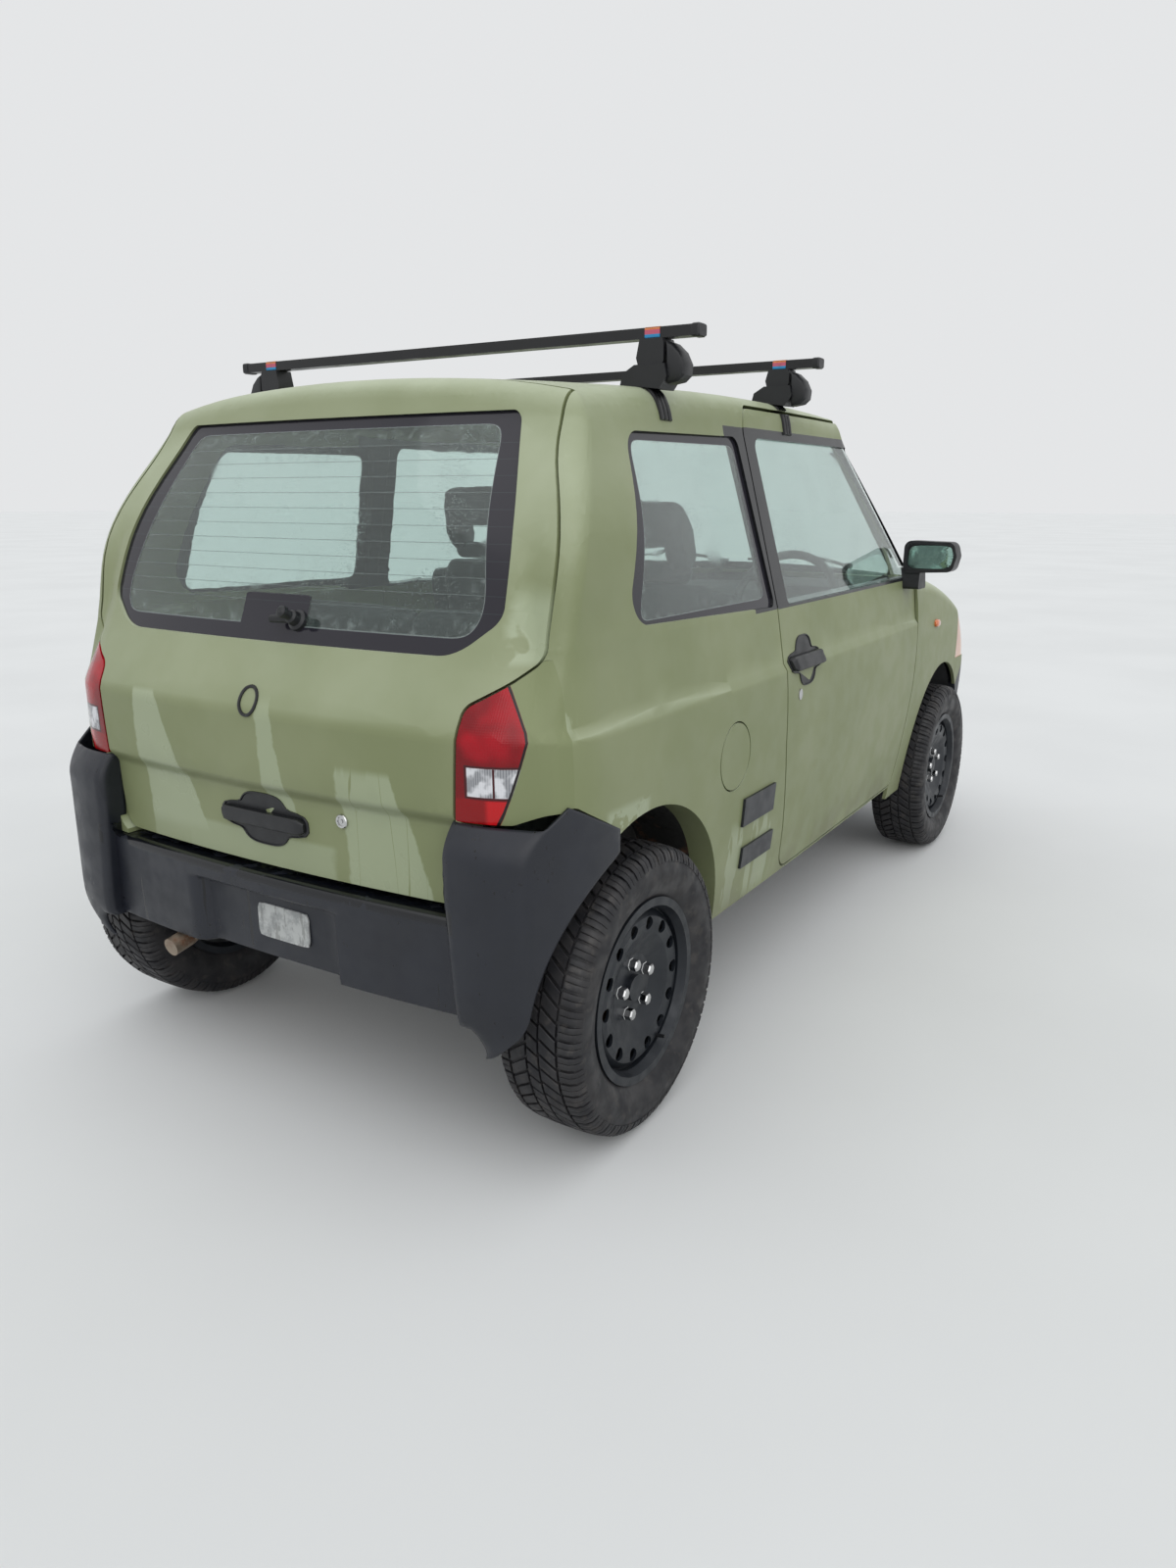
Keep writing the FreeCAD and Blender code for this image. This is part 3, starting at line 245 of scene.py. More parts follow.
def plastic(name, color, rough, wet=False):
    n = Nodes(name)
    shade = n.mix(n.cloud(7, 4, 0.35, 0.7), color, darker(color, 0.78))
    r = n.cloud(22, 3, 0.3, 0.7, rough - 0.06, rough + 0.08)
    if wet:
        runs = n.times(n.span(n.noise(1.0, 3, 0.55, stretch=(46, 46, 2.0)), 0.64, 0.66),
                       n.cloud(2.3, 1, 0.47, 0.52), n.span(n.z, 0.34, 0.4))
        drops = n.times(n.span(n.cells(1.0, stretch=(90, 90, 46)), 0.2, 0.14), n.cloud(11, 2, 0.56, 0.6))
        shelf = n.times(n.band(n.z, 0.545, 0.59, 0.006), n.span(n.size(n.y), 0.54, 0.53),
                        n.cloud(14, 3, 0.4, 0.44))
        water = n.most(runs, drops, shelf)
        r = n.math("SUBTRACT", r, n.times(water, rough - 0.1))
        shade = n.mix(n.times(water, 0.85), shade, darker(color, 0.22))
    return n.finish(shade, r, normal=n.grain(900, 2, 0.25, 0.0004))


# Outlines of the clear parts of the panes, in metres: X and Z at the sides, Y and Z at the back
DOOR_PANE = ((0.628, 1.076), (0.2, 1.482), (-0.6, 1.482), (-0.56, 1.072))
QUARTER_CLEAR = ((-0.64, 1.098), (-0.668, 1.458), (-1.18, 1.452), (-1.272, 1.1))
REAR_CLEAR = ((0.5, 1.085), (0.525, 1.13), (0.442, 1.478), (-0.442, 1.478), (-0.525, 1.13), (-0.5, 1.085))


def glass(name, clear=None, rear=False):
    """Window glass with a dark painted band, mist and small drops, and heater lines at the back."""
    n = Nodes(name)
    drops = n.times(n.span(n.cells(190), 0.22, 0.08), n.cloud(6, 3, 0.52, 0.6))
    mist = n.cloud(5, 4, 0.5, 0.72)
    rough = n.plus(mist, 0.1, 0.01)
    color = srgb(226, 240, 236)
    share = 0.97
    if clear:
        u = n.y if rear else n.x
        depth = n.inside(clear, u, n.z)
        if rear:
            across = n.size(n.y)
            hump = n.times(n.span(across, 0.115, 0.075), n.span(n.z, 1.15, 1.142))
            depth = n.math("MINIMUM", depth, n.plus(hump, -1.0, 0.5))
        band = n.span(depth, 0.0015, -0.0015)
        edge_mist = n.times(n.span(depth, 0.05, 0.0), n.span(n.noise(45, 4, 0.6), 0.5, 0.75), 0.16)
        color = n.mix(band, color, srgb(40, 38, 46))
        if rear:
            rows = n.math("FRACT", n.math("DIVIDE", n.z, 0.031))
            wire = n.times(n.band(rows, 0.485, 0.515, 0.01), n.band(n.z, 1.125, 1.465, 0.001))
            color = n.mix(n.times(wire, 0.6), color, srgb(60, 70, 72))
            band = n.most(band, n.times(wire, 0.3))
        share = n.times(n.rest(n.most(band, edge_mist)), 0.97)
        rough = n.plus(band, 0.06, rough)
    return n.finish(color, rough, normal=n.bump(drops, 0.3, 0.0006), glass=share, ior=1.45)


def metal(name, color, rough, metal=1.0, rust=0.0):
    n = Nodes(name)
    shade = n.mix(n.cloud(12, 5, 0.3, 0.7), color, darker(color, 0.75))
    if rust:
        patch = n.span(n.noise(9, 6, 0.65), 0.62 - rust * 0.3, 0.72 - rust * 0.3)
        shade = n.mix(patch, shade, srgb(112, 78, 56))
        metal = n.plus(patch, -metal, metal)
    r = n.cloud(30, 3, 0.3, 0.7, rough * 0.8, rough * 1.3)
    return n.finish(shade, r, metal, n.grain(160, 3, 0.12, 0.0006))


def tail_lamp():
    """Red lens with a clear band whose rib crests carry painted highlights, a lower strip of reflectors and
    paint past its slanted side.
    """
    n = Nodes("tail_lamp_lens")
    flute = 0.0045
    side = n.size(n.y)
    past = n.line(1.0, n.x, -0.177, n.z, 1.77)
    painted = n.span(past, 0.0006, 0.0012)
    clear = n.times(n.band(n.z, 0.8085, 0.8635, 0.001), n.band(side, 0.548, 0.705, 0.001))
    rim = n.times(n.band(n.z, 0.8045, 0.8675, 0.0008), n.band(side, 0.543, 0.71, 0.001), n.rest(clear))
    lower = n.span(n.z, 0.8035, 0.8015)
    glow = n.cloud(9, 2, 0.42, 0.62)
    red = n.mix(glow, srgb(128, 2, 14), srgb(176, 4, 26))
    outer = n.span(side, 0.655, 0.675)
    red = n.mix(outer, red, srgb(160, 6, 14))
    cells = n.mix(n.band(side, 0.585, 0.668, 0.006), srgb(150, 8, 14), srgb(208, 26, 32))
    red = n.mix(lower, red, cells)
    ribs = n.ribs(side, flute)
    rows = n.ribs(n.z, flute)
    pale = n.mix(n.cloud(38, 2, 0.4, 0.6), srgb(120, 122, 128), srgb(236, 236, 240))
    # Painted highlights: the clear band turns almost white along the crests of its ribs
    pale = n.mix(n.times(ribs, 0.35), pale, srgb(250, 250, 252))
    color = n.mix(clear, red, pale)
    wall = n.times(n.band(side, 0.5975, 0.6015, 0.0005), clear)
    color = n.mix(n.most(rim, wall), color, srgb(74, 20, 24))
    height = n.math("ADD", ribs, n.times(rows, 0.8))
    color = n.mix(n.band(past, -0.0022, 0.0008, 0.0004), color, srgb(30, 22, 24))
    color = n.mix(painted, color, GREEN)
    height = n.times(height, n.rest(painted))
    rough = n.plus(painted, 0.34, 0.1)
    return n.finish(color, rough, normal=n.bump(height, 0.16, 0.0008), spec=0.35)


def headlamp():
    """Fluted clear lens over a bright bowl, with painted highlights along the flutes, and an amber end."""
    n = Nodes("headlamp_lens")
    side = n.size(n.y)
    flutes = n.ribs(side, 0.011)
    # Painted highlights: bowl and amber end are lighter on the crests of the flutes
    bowl = n.mix(flutes, srgb(168, 172, 178), srgb(232, 234, 236))
    amber = n.mix(flutes, srgb(196, 104, 24), srgb(236, 140, 40))
    color = n.mix(n.span(side, 0.612, 0.616), bowl, amber)
    frame_line = n.band(side, 0.608, 0.616, 0.001)
    color = n.mix(frame_line, color, srgb(40, 40, 42))
    return n.finish(color, 0.1, metal=0.25, normal=n.bump(flutes, 0.25, 0.0012), coat=1.0, coat_rough=0.02)


def tyre():
    """Grey-black rubber with browner patches and a fine grain."""
    n = Nodes("tyre_rubber")
    shade = n.mix(n.cloud(16, 5, 0.35, 0.7), srgb(26, 26, 30), srgb(48, 46, 47))
    shade = n.mix(n.times(n.cloud(40, 4, 0.55, 0.7), 0.5), shade, srgb(72, 68, 65))
    rough = n.cloud(24, 3, 0.3, 0.7, 0.45, 0.75)
    return n.finish(shade, rough, normal=n.grain(500, 3, 0.2, 0.0006))


def cloth():
    """Grey woven cloth."""
    n = Nodes("seat_cloth")
    color = srgb(66, 70, 72)
    weave = n.cells(700)
    shade = n.mix(n.span(weave, 0.2, 0.6), color, darker(color, 0.62))
    shade = n.mix(n.cloud(9, 4, 0.45, 0.75, 0.0, 0.35), shade, darker(color, 1.35))
    return n.finish(shade, 0.9, normal=n.bump(weave, 0.3, 0.0008), sheen=0.2)


def plate():
    """Bare plate: whitish grey paint with dirt, no characters."""
    n = Nodes("plate_bare")
    shade = n.mix(n.span(n.noise(26, 5, 0.65), 0.42, 0.62), srgb(198, 200, 198), srgb(160, 162, 162))
    smear = n.times(n.span(n.noise(1.0, 3, 0.6, stretch=(20, 60, 16)), 0.56, 0.6), 0.6)
    shade = n.mix(smear, shade, srgb(128, 128, 126))
    return n.finish(shade, 0.5, normal=n.grain(90, 3, 0.2, 0.0008))


def label():
    """Three plain stripes across the side of a roof bar."""
    n = Nodes("label_stripes")
    low = n.span(n.z, 1.67, 1.6704)
    high = n.span(n.z, 1.679, 1.6794)
    shade = n.mix(low, srgb(46, 150, 206), srgb(206, 96, 120))
    shade = n.mix(high, shade, srgb(226, 132, 74))
    shade = n.mix(n.times(n.cloud(60, 3, 0.5, 0.7), 0.3), shade, srgb(90, 90, 90))
    return n.finish(shade, 0.4, normal=n.grain(300, 2, 0.1, 0.0003))


def mirror():
    n = Nodes("mirror_glass")
    drops = n.times(n.span(n.cells(190), 0.34, 0.18), n.span(n.z, 1.18, 1.13))
    shade = n.mix(drops, srgb(150, 180, 170), srgb(60, 76, 72))
    return n.finish(shade, n.cloud(30, 2, 0.3, 0.7, 0.02, 0.08), 1.0, n.bump(drops, 0.5, 0.001))


def amber():
    n = Nodes("amber_lens")
    ribs = n.ribs(n.x, 0.003)
    # Painted highlights: the amber is lighter on the crests of the ribs
    shade = n.mix(ribs, srgb(196, 84, 16), srgb(238, 122, 34))
    return n.finish(shade, 0.12, normal=n.bump(ribs, 0.2, 0.0005), coat=1.0, coat_rough=0.03)


BLUE_BLACK = plastic("bumper_plastic", srgb(31, 34, 43), 0.42, wet=True)
BLACK = plastic("black_plastic", srgb(27, 28, 31), 0.42)
TYRE = tyre()
CHROME = metal("chrome", srgb(205, 205, 205), 0.12)
UNDER = metal("underbody_steel", srgb(44, 44, 43), 0.6, 0.2, rust=0.2)
CLOTH = cloth()
RACK = plastic("rack_black", srgb(22, 22, 25), 0.35)
PLATE = plate()
MIRROR = mirror()
AMBER = amber()

# Each material with the first letters of its nodes' names
LOOKS = {
    paint("paint_matte_green"): "roof_panel fender_ bonnet_panel fuel_lid",
    paint("paint_tailgate", tailgate_stain): "tailgate_panel",
    paint("paint_side", side_stain, window=True): "side_frame_",
    paint("paint_door", window=True): "door_panel_",
    BLUE_BLACK: "rear_bumper front_bumper",
    BLACK: "cowl_firewall front_liners grille mirror_ door_handle_ tailgate_trim",
    plastic("vent_plastic", srgb(40, 42, 48), 0.4): "side_vents",
    plastic("cabin_plastic", srgb(74, 74, 74), 0.7): "dashboard steering_wheel",
    glass("window_glass"): "door_glass_ windscreen",
    glass("quarter_glass", QUARTER_CLEAR): "quarter_windows",
    glass("rear_glass", REAR_CLEAR, rear=True): "tailgate_glass",
    headlamp(): "headlamps",
    tail_lamp(): "tail_lamps",
    TYRE: "tyre_",
    metal("wheel_steel_black", srgb(34, 38, 44), 0.4, 0.2): "rim_",
    UNDER: "floor_pan wheelhouses front_structure front_arms knuckle_ rear_axle rear_suspension "
           "engine_block radiator propshaft fuel_tank",
    metal("exhaust_steel", srgb(166, 150, 132), 0.38, 0.8, rust=0.35): "exhaust",
    CLOTH: "front_seats rear_bench",
    RACK: "roof_bars rack_feet",
}
for material, starts in LOOKS.items():
    for name, node in NODES.items():
        if name.startswith(tuple(starts.split())):
            for mesh_slot in node.material_slots:
                mesh_slot.material = material


# Pieces that the scene adds

SIDES = ((1, "left"), (-1, "right"))


def placed(name, data):
    """An object in the scene's collection."""
    piece = bpy.data.objects.new(name, data)
    scene.collection.objects.link(piece)
    return piece


def new_piece(name, shape, body="body", material=BLACK, replaced=(), smooth=30):
    """An object from lists of corners and faces, with edges sharp above an angle in degrees."""
    verts, faces = shape
    mesh = bpy.data.meshes.new(name)
    mesh.from_pydata([tuple(v) for v in verts], [], faces)
    form = bmesh.new()
    form.from_mesh(mesh)
    bmesh.ops.recalc_face_normals(form, faces=form.faces)
    form.to_mesh(mesh)
    form.free()
    mesh.materials.append(material)
    mesh.shade_smooth()
    mesh.set_sharp_from_angle(angle=radians(smooth))
    piece = placed(name, mesh)
    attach(piece, body)
    if replaced:
        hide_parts(*replaced)
    return piece


def joined(parts):
    """One list of corners and faces from several."""
    verts, faces = [], []
    for part_verts, part_faces in parts:
        start = len(verts)
        verts += [tuple(v) for v in part_verts]
        faces += [[i + start for i in face] for face in part_faces]
    return verts, faces


def loft(rings, closed=False):
    """Faces between rings with the same number of corners, with end faces unless it closes on itself."""
    count = len(rings[0])
    verts = [v for ring in rings for v in ring]
    faces = []
    steps = len(rings) if closed else len(rings) - 1
    for i in range(steps):
        a, b = i * count, (i + 1) % len(rings) * count
        faces += [[a + k, a + (k + 1) % count, b + (k + 1) % count, b + k] for k in range(count)]
    if not closed:
        faces.append(list(range(count)))
        faces.append([(len(rings) - 1) * count + k for k in reversed(range(count))])
    return verts, faces


def circle(count, r=1.0):
    """Pairs round a circle about zero."""
    angles = [tau * k / count for k in range(count)]
    return [(r * cos(a), r * sin(a)) for a in angles]


def soft_box(count, u, v, power=3.5):
    """Pairs round a rounded rectangle of half sizes u and v, about zero."""
    pairs = []
    for c, s in circle(count):
        r = (abs(c / u) ** power + abs(s / v) ** power) ** (-1 / power)
        pairs.append((r * c, r * s))
    return pairs


def stacked(outline, steps, place):
    """A shape from one outline at several pairs of offset and scale: place(u, v, offset) gives a point."""
    return loft([[place(u * k, v * k, out) for u, v in outline] for out, k in steps])


def turned(profile, steps, at):
    """A ring turned about the Y axis through a point, from pairs of offset along Y and radius."""
    rings = [[(at[0] + r * c, at[1] + y, at[2] + r * s) for y, r in profile] for c, s in circle(steps)]
    return loft(rings, closed=True)


def rod(start, end, radius, sides=16, end_radius=None):
    start, end = Vector(start), Vector(end)
    along = (end - start).normalized()
    side = along.orthogonal().normalized()
    up = along.cross(side)
    ends = ((start, radius), (end, radius if end_radius is None else end_radius))
    return loft([[place + side * u + up * v for u, v in circle(sides, r)] for place, r in ends])


def skins(*names):
    """A function that casts a ray at the named nodes."""
    trees = []
    for name in names:
        mesh = NODES[name].data
        faces = [p.vertices for p in mesh.polygons]
        trees.append(BVHTree.FromPolygons([v.co for v in mesh.vertices], faces))

    def touch(start, way):
        """The nearest point seen from a start in a direction."""
        hits = [tree.ray_cast(Vector(start), Vector(way)) for tree in trees]
        hits = [(far, place) for place, normal, face, far in hits if place is not None]
        return min(hits, key=lambda hit: hit[0])[1] if hits else None
    return touch


def evenly(low, high, count):
    return [low + (high - low) * i / (count - 1) for i in range(count)]


def unit(value):
    return min(1.0, max(0.0, value))


def step_up(value, low, high):
    share = unit((value - low) / (high - low))
    return share * share * (3 - 2 * share)


# Rear bumper: its middle bar and two horns, wrapped round the corners to the wheel arches
arch_centre = (-1.29, 0.317)
arch_r = 0.373
bar_x = -1.693
bar_top = 0.563
bar_low = 0.357
bar_half = 0.545
bar_bow = 10.4
dish_left = 0.226
dish_right = -0.222
dish_top = 0.522
dish_depth = 0.034
lean = 0.033
horn_x = -1.697
horn_in = 0.51
horn_edge = 0.662
horn_side = 0.7385
horn_end = -1.42
horn_top = 0.757
horn_wall = 0.006
peak_x = -1.566
peak_z = 0.79


def bar_face(y, z):
    """X of the middle bar's face, bowed across and dished for the plate."""
    across = unit((y - dish_right) / 0.04) * unit((dish_left - y) / 0.034)
    dish = min(across, unit((dish_top - z) / 0.018))
    face = bar_x + (0.6 - max(z, bar_low)) * lean + y * y / bar_bow
    return face + dish_depth * dish * dish * (3 - 2 * dish)


def bumper_bar():
    """Rings across the car, each from the top edge down the face and back under."""
    heights = (0.545, 0.535, 0.523, 0.518, 0.513, 0.508, 0.503, 0.49, 0.46, 0.43, 0.4, 0.375, 0.364)
    crown = ((0.085, 0.56), (0.06, 0.5625), (0.02, bar_top), (0.01, bar_top - 0.0015),
             (0.004, bar_top - 0.005), (0.001, 0.553))
    rings = []
    for y in evenly(-bar_half, bar_half - 0.005, 71):
        top = bar_face(y, 0.55)
        ring = [(top + dx, y, z) for dx, z in crown]
        ring += [(bar_face(y, z), y, z) for z in heights]
        ring += [(bar_face(y, z) + dx, y, z) for dx, z in ((0.001, 0.359), (0.004, bar_low))]
        ring.append((bar_face(y, 0.4) + 0.012, y, bar_low - 0.002))
        ring += [(top + 0.06, y, z) for z in (bar_low, 0.37, 0.545)]
        rings.append(ring)
    return loft(rings)


def horn_rear_x(z):
    """The horn's shoulder slopes in below the lamp."""
    return horn_x + 0.04 * unit((z - 0.694) / 0.066) ** 1.7 + max(0.0, 0.42 - z) * 0.05


def side_top(x):
    """The bumper's upper edge along the side, up to a peak and down to the arch."""
    if x < peak_x:
        return horn_top + (peak_z - horn_top) * unit((x - peak_x + 0.052) / 0.052)
    return peak_z - (x - peak_x) / (horn_end - peak_x) * 0.074


def side_y(x):
    return horn_side - 0.0545 * max(0.0, (horn_end - x) / 0.235) ** 1.8


def horn_path(z):
    """The horn's outline from above at a height: inner wall, rear face, soft edge and side."""
    rear = horn_rear_x(z)
    inner = horn_in + (0.62 - min(z, 0.62)) * 0.09
    points = [(rear + dx, inner) for dx in (0.062, 0.04, 0.014)]
    points += [(rear + 0.004, inner + 0.005), (rear, inner + 0.015)]
    for y in evenly(inner + 0.015, horn_edge, 11)[1:]:
        points.append((rear + 0.025 * max(0.0, (y - 0.545) / 0.117) ** 2, y))
    start = max(-1.652, rear + 0.045)
    edge_y = side_y(start)
    bend = ((rear + 0.025, horn_edge), (start - 0.0123, edge_y - 0.005), (start, edge_y))
    for t in evenly(0, 1, 7)[1:]:
        points.append(tuple((1 - t) ** 2 * p + 2 * t * (1 - t) * k + t * t * q for p, k, q in zip(*bend)))
    points += [(x, side_y(x)) for x in evenly(start, horn_end, 17)[1:]]
    tuck = max(0.0, (0.4 - z) / 0.12) ** 2
    points = [(x + 0.024 * tuck, y - 0.035 * tuck * unit((y - 0.56) / 0.1)) for x, y in points]
    reach = sqrt(max(0.0, arch_r ** 2 - (z - arch_centre[1]) ** 2))
    return cut_at(points, min(horn_end, arch_centre[0] - reach))


def cut_at(points, end):
    """The path up to an X, past its first five points."""
    kept = points[:5]
    for x, y in points[5:]:
        if x >= end:
            last_x, last_y = kept[-1]
            kept.append((end, last_y + (y - last_y) * (end - last_x) / (x - last_x)))
            break
        kept.append((x, y))
    return kept


def along(points, share):
    """The place at a share of a path's length."""
    spans = [dist(a, b) for a, b in zip(points, points[1:])]
    left = share * sum(spans)
    for a, b, size in zip(points, points[1:], spans):
        if left <= size or b is points[-1]:
            t = min(1.0, left / size)
            return (a[0] + (b[0] - a[0]) * t, a[1] + (b[1] - a[1]) * t)
        left -= size


def horn_shape(sign):
    """A sheet of columns round one horn, from the wall beside the tailgate to the wheel arch."""
    columns, rows = 56, 40
    verts = []
    for share in evenly(0, 1, columns):
        top = side_top(along(horn_path(horn_top), share)[0])
        low = 0.282 + 0.072 * unit((0.605 - along(horn_path(0.3), share)[1]) / 0.06)
        for v in evenly(0, 1, rows):
            v += 0.5 * (v - v * v) * (2 * v - 1)
            z = low + (top - low) * v
            x, y = along(horn_path(z), share)
            hem = 0.006 * max(0.0, 1 - v / 0.04) ** 2
            verts.append((x + hem, (y - hem) * sign, z))
    faces = [[a * rows + k, a * rows + k + 1, (a + 1) * rows + k + 1, (a + 1) * rows + k]
             for a in range(columns - 1) for k in range(rows - 1)]
    return verts, faces


def make_rear_bumper():
    new_piece("bumper_bar", bumper_bar(), material=BLUE_BLACK, replaced=["rear_bumper"], smooth=32)
    for sign, side in SIDES:
        horn = new_piece("bumper_horn_" + side, horn_shape(sign), material=BLUE_BLACK, smooth=32)
        wall = horn.modifiers.new("wall", "SOLIDIFY")
        wall.thickness = horn_wall
        wall.offset = -1.0


# Plates, each stamped round its edge: middle, half sizes, and pairs of offset and scale
plates = {
    "rear": ((bar_face(0.0, 0.45) - 0.003, -0.033, 0.444), (0.0775, 0.039),
             ((0.003, 1.0), (0.0, 1.0), (-0.0012, 0.985), (-0.0012, 0.93), (-0.0006, 0.91))),
    "front": ((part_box("front_bumper")[1].x + 0.004, 0.0, 0.47), (0.165, 0.082),
              ((-0.02, 1.0), (0.0, 1.0), (0.0012, 0.99), (0.0012, 0.95), (0.0006, 0.94))),
}


def make_plates():
    for end, ((x, y, z), half, steps) in plates.items():
        shape = stacked(soft_box(40, *half, 12), steps, lambda u, v, out: (x + out, y + u, z + v))
        new_piece("plate_" + end, shape, material=PLATE)


# Tyres, nuts and valves: pairs of offset from the wheel's middle and radius
tyre_half = ((0.075, 0.2045), (0.089, 0.226), (0.0975, 0.256), (0.0955, 0.284), (0.088, 0.3),
             (0.066, 0.3085))
bead = ((0.0745, 0.1915), (0.0755, 0.2))
tread_bed = ((-0.04, 0.3095), (0.0, 0.31), (0.04, 0.3095))
bore = ((0.066, 0.1915), (-0.066, 0.1915))
shoulder = ((0.06, 0.315), (0.08, 0.311), (0.0895, 0.303), (0.0945, 0.293), (0.0966, 0.284))
shoulder_foot = ((0.06, 0.307), (0.078, 0.303), (0.085, 0.295), (0.09, 0.287), (0.0935, 0.283))
middle = ((0.017, 0.317), (0.035, 0.3165), (0.054, 0.3155))
middle_foot = ((0.017, 0.307), (0.035, 0.307), (0.054, 0.306))
crown = ((-0.012, 0.317), (0.012, 0.317))
crown_foot = ((-0.012, 0.308), (0.012, 0.308))
block_count = 60
tyre_r = 0.317
bolt_circle_r = 0.05715
nut_steps = ((0.044, 0.0146), (0.0465, 0.0146), (0.0475, 0.0129), (0.062, 0.0129), (0.065, 0.0108),
             (0.0662, 0.006))


def tread_block(centre, across, outer, inner, start, end, slant):
    """One block between two angles: an outer outline of offset and radius pairs over an inner one."""
    rings = []
    edge = 0.0016 / tyre_r
    for angle, inset in ((start, 0.0012), (start + edge, 0.0), (end - edge, 0.0), (end, 0.0012)):
        ring = []
        for y, r in [(y, r - inset) for y, r in outer] + list(reversed(inner)):
            a = angle + slant * (y - outer[0][0])
            ring.append((centre[0] + r * cos(a), centre[1] + across * y, centre[2] + r * sin(a)))
        rings.append(ring)
    return loft(rings)


def tyre_shape(centre):
    """The carcass, with rows of blocks: shoulders split in two, slanted ones beside the crown's."""
    section = [(-y, r) for y, r in bead + tyre_half]
    section += tread_bed
    section += reversed(bead + tyre_half)
    section += bore
    parts = [turned(section, 120, centre)]
    step = tau / block_count
    for i in range(block_count):
        a = step * i
        for way in (1, -1):
            s = a if way > 0 else a + step * 0.5
            for outer, inner, first, last, slant in ((shoulder, shoulder_foot, 0.0, 0.37, 0.35),
                                                     (shoulder, shoulder_foot, 0.41, 0.8, 0.35),
                                                     (middle, middle_foot, 0.3, 1.08, 2.2)):
                start, end = s + step * first, s + step * last
                parts.append(tread_block(centre, way, outer, inner, start, end, slant))
        parts.append(tread_block(centre, 1, crown, crown_foot, a, a + step * 0.8, -2.0))
    return joined(parts)


def make_wheels():
    flat = cos(pi / 6)
    hexagon = [(c * k, s * k) for (c, s), k in zip(circle(12), (1.0, flat) * 6)]
    for end in ("front", "rear"):
        for way, side in SIDES:
            wheel = end + "_" + side
            low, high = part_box("tyre_" + wheel)
            centre = (low + high) / 2
            body = "wheel_" + wheel

            def rim_point(degrees, r, out):
                a = radians(degrees)
                return centre + Vector((r * cos(a), way * out, r * sin(a)))

            new_piece("tread_tyre_" + wheel, tyre_shape(centre), body, TYRE, ["tyre_" + wheel], 38)
            nuts = []
            for k in range(5):
                at = rim_point(98 + 72 * k, bolt_circle_r, 0.0)
                nuts.append(stacked(hexagon, nut_steps, lambda u, v, out: at + Vector((u, way * out, v))))
            new_piece("nuts_" + wheel, joined(nuts), body, CHROME)
            stem = rod(rim_point(-62, 0.166, 0.05), rim_point(-62, 0.158, 0.088), 0.0052, 12, 0.0038)
            new_piece("valve_" + wheel, stem, body)


# Handles
handle_y = -0.005
handle_z = 0.681
lock_from_handle = (-0.226, 0.03)
grip_x = -0.436
grip_z = 0.924
lock_from_grip = (-0.051, -0.085)


def handle_outline(wing, wing_high, cup, cup_high):
    """A wide grip's outline with a rounder cup through its middle."""
    points = []
    for c, s in circle(72):
        grip = ((abs(c) / wing) ** 4 + (abs(s) / wing_high) ** 4) ** -0.25
        bowl = ((abs(c) / cup) ** 3.2 + (abs(s) / cup_high) ** 3.2) ** (-1 / 3.2)
        r = (grip ** 12 + bowl ** 12) ** (1 / 12)
        points.append((r * c, r * s))
    return points


def make_handle(name, body, node, place, outline, bar, bar_high, proud):
    """A handle over the skin, where place(u, v, out) gives a point: its dished base and a bar across it."""
    base = ((-0.002, 1.0), (0.0022, 1.0), (0.0034, 0.985), (0.0034, 0.955), (0.0008, 0.935))
    section = ((-1.0, 0.1), (-1.0, 0.72), (-0.82, 0.94), (-0.45, 1.02), (0.45, 1.04), (0.82, 0.98),
               (1.0, 0.78), (1.0, 0.1))
    rings = []
    for u in evenly(-bar, bar, 25):
        end = sqrt(min(1.0, (1 - abs(u) / bar) / 0.1))
        high = bar_high * (0.55 + 0.45 * end)
        out = proud * (0.62 + 0.38 * end)
        rings.append([place(u, v * high, out * lift) for v, lift in section])
    parts = [stacked(outline, base, place), loft(rings)]
    new_piece(name, joined(parts), body, replaced=[node], smooth=34)


def make_tailgate_handle():
    skin = skins("tailgate_panel")

    def on_tailgate(u, v, out):
        y, z = handle_y + u, handle_z + v
        place = skin((-2.0, y, min(max(z, 0.6), 0.9)), (1, 0, 0))
        return (place.x - out + crease(z), y, z)

    outline = handle_outline(0.131, 0.03, 0.072, 0.058)
    make_handle("tailgate_handle", "tailgate", "tailgate_trim", on_tailgate, outline, 0.124, 0.017, 0.017)
    x, y, z = on_tailgate(*lock_from_handle, 0.0)
    steps = ((-0.004, 0.015), (0.004, 0.015), (0.006, 0.0135), (0.006, 0.01), (0.0035, 0.009),
             (0.0035, 0.0045), (0.0055, 0.004))
    lock = stacked(circle(28), steps, lambda u, v, out: (x - out, y + u, z + v))
    new_piece("tailgate_lock", lock, "tailgate", material=CHROME)


def make_door_handle(sign, side):
    skin = skins("door_panel_" + side)
    body = "door_" + side

    def on_door(u, v, out):
        x, z = grip_x + u, grip_z + v
        place = skin((x, sign * 0.95, z), (0, -sign, 0))
        return (x, place.y + sign * out, z)

    outline = handle_outline(0.116, 0.028, 0.058, 0.066)
    make_handle("door_grip_" + side, body, "door_handle_" + side, on_door, outline, 0.108, 0.018, 0.02)
    x, y, z = on_door(*lock_from_grip, 0.0)
    steps = ((-0.002, 0.0125), (0.0025, 0.012), (0.0035, 0.01), (0.003, 0.005))
    lock = stacked(circle(24), steps, lambda u, v, out: (x + u, y + sign * out, z + 1.25 * v))
    new_piece("door_lock_" + side, lock, body, material=CHROME)


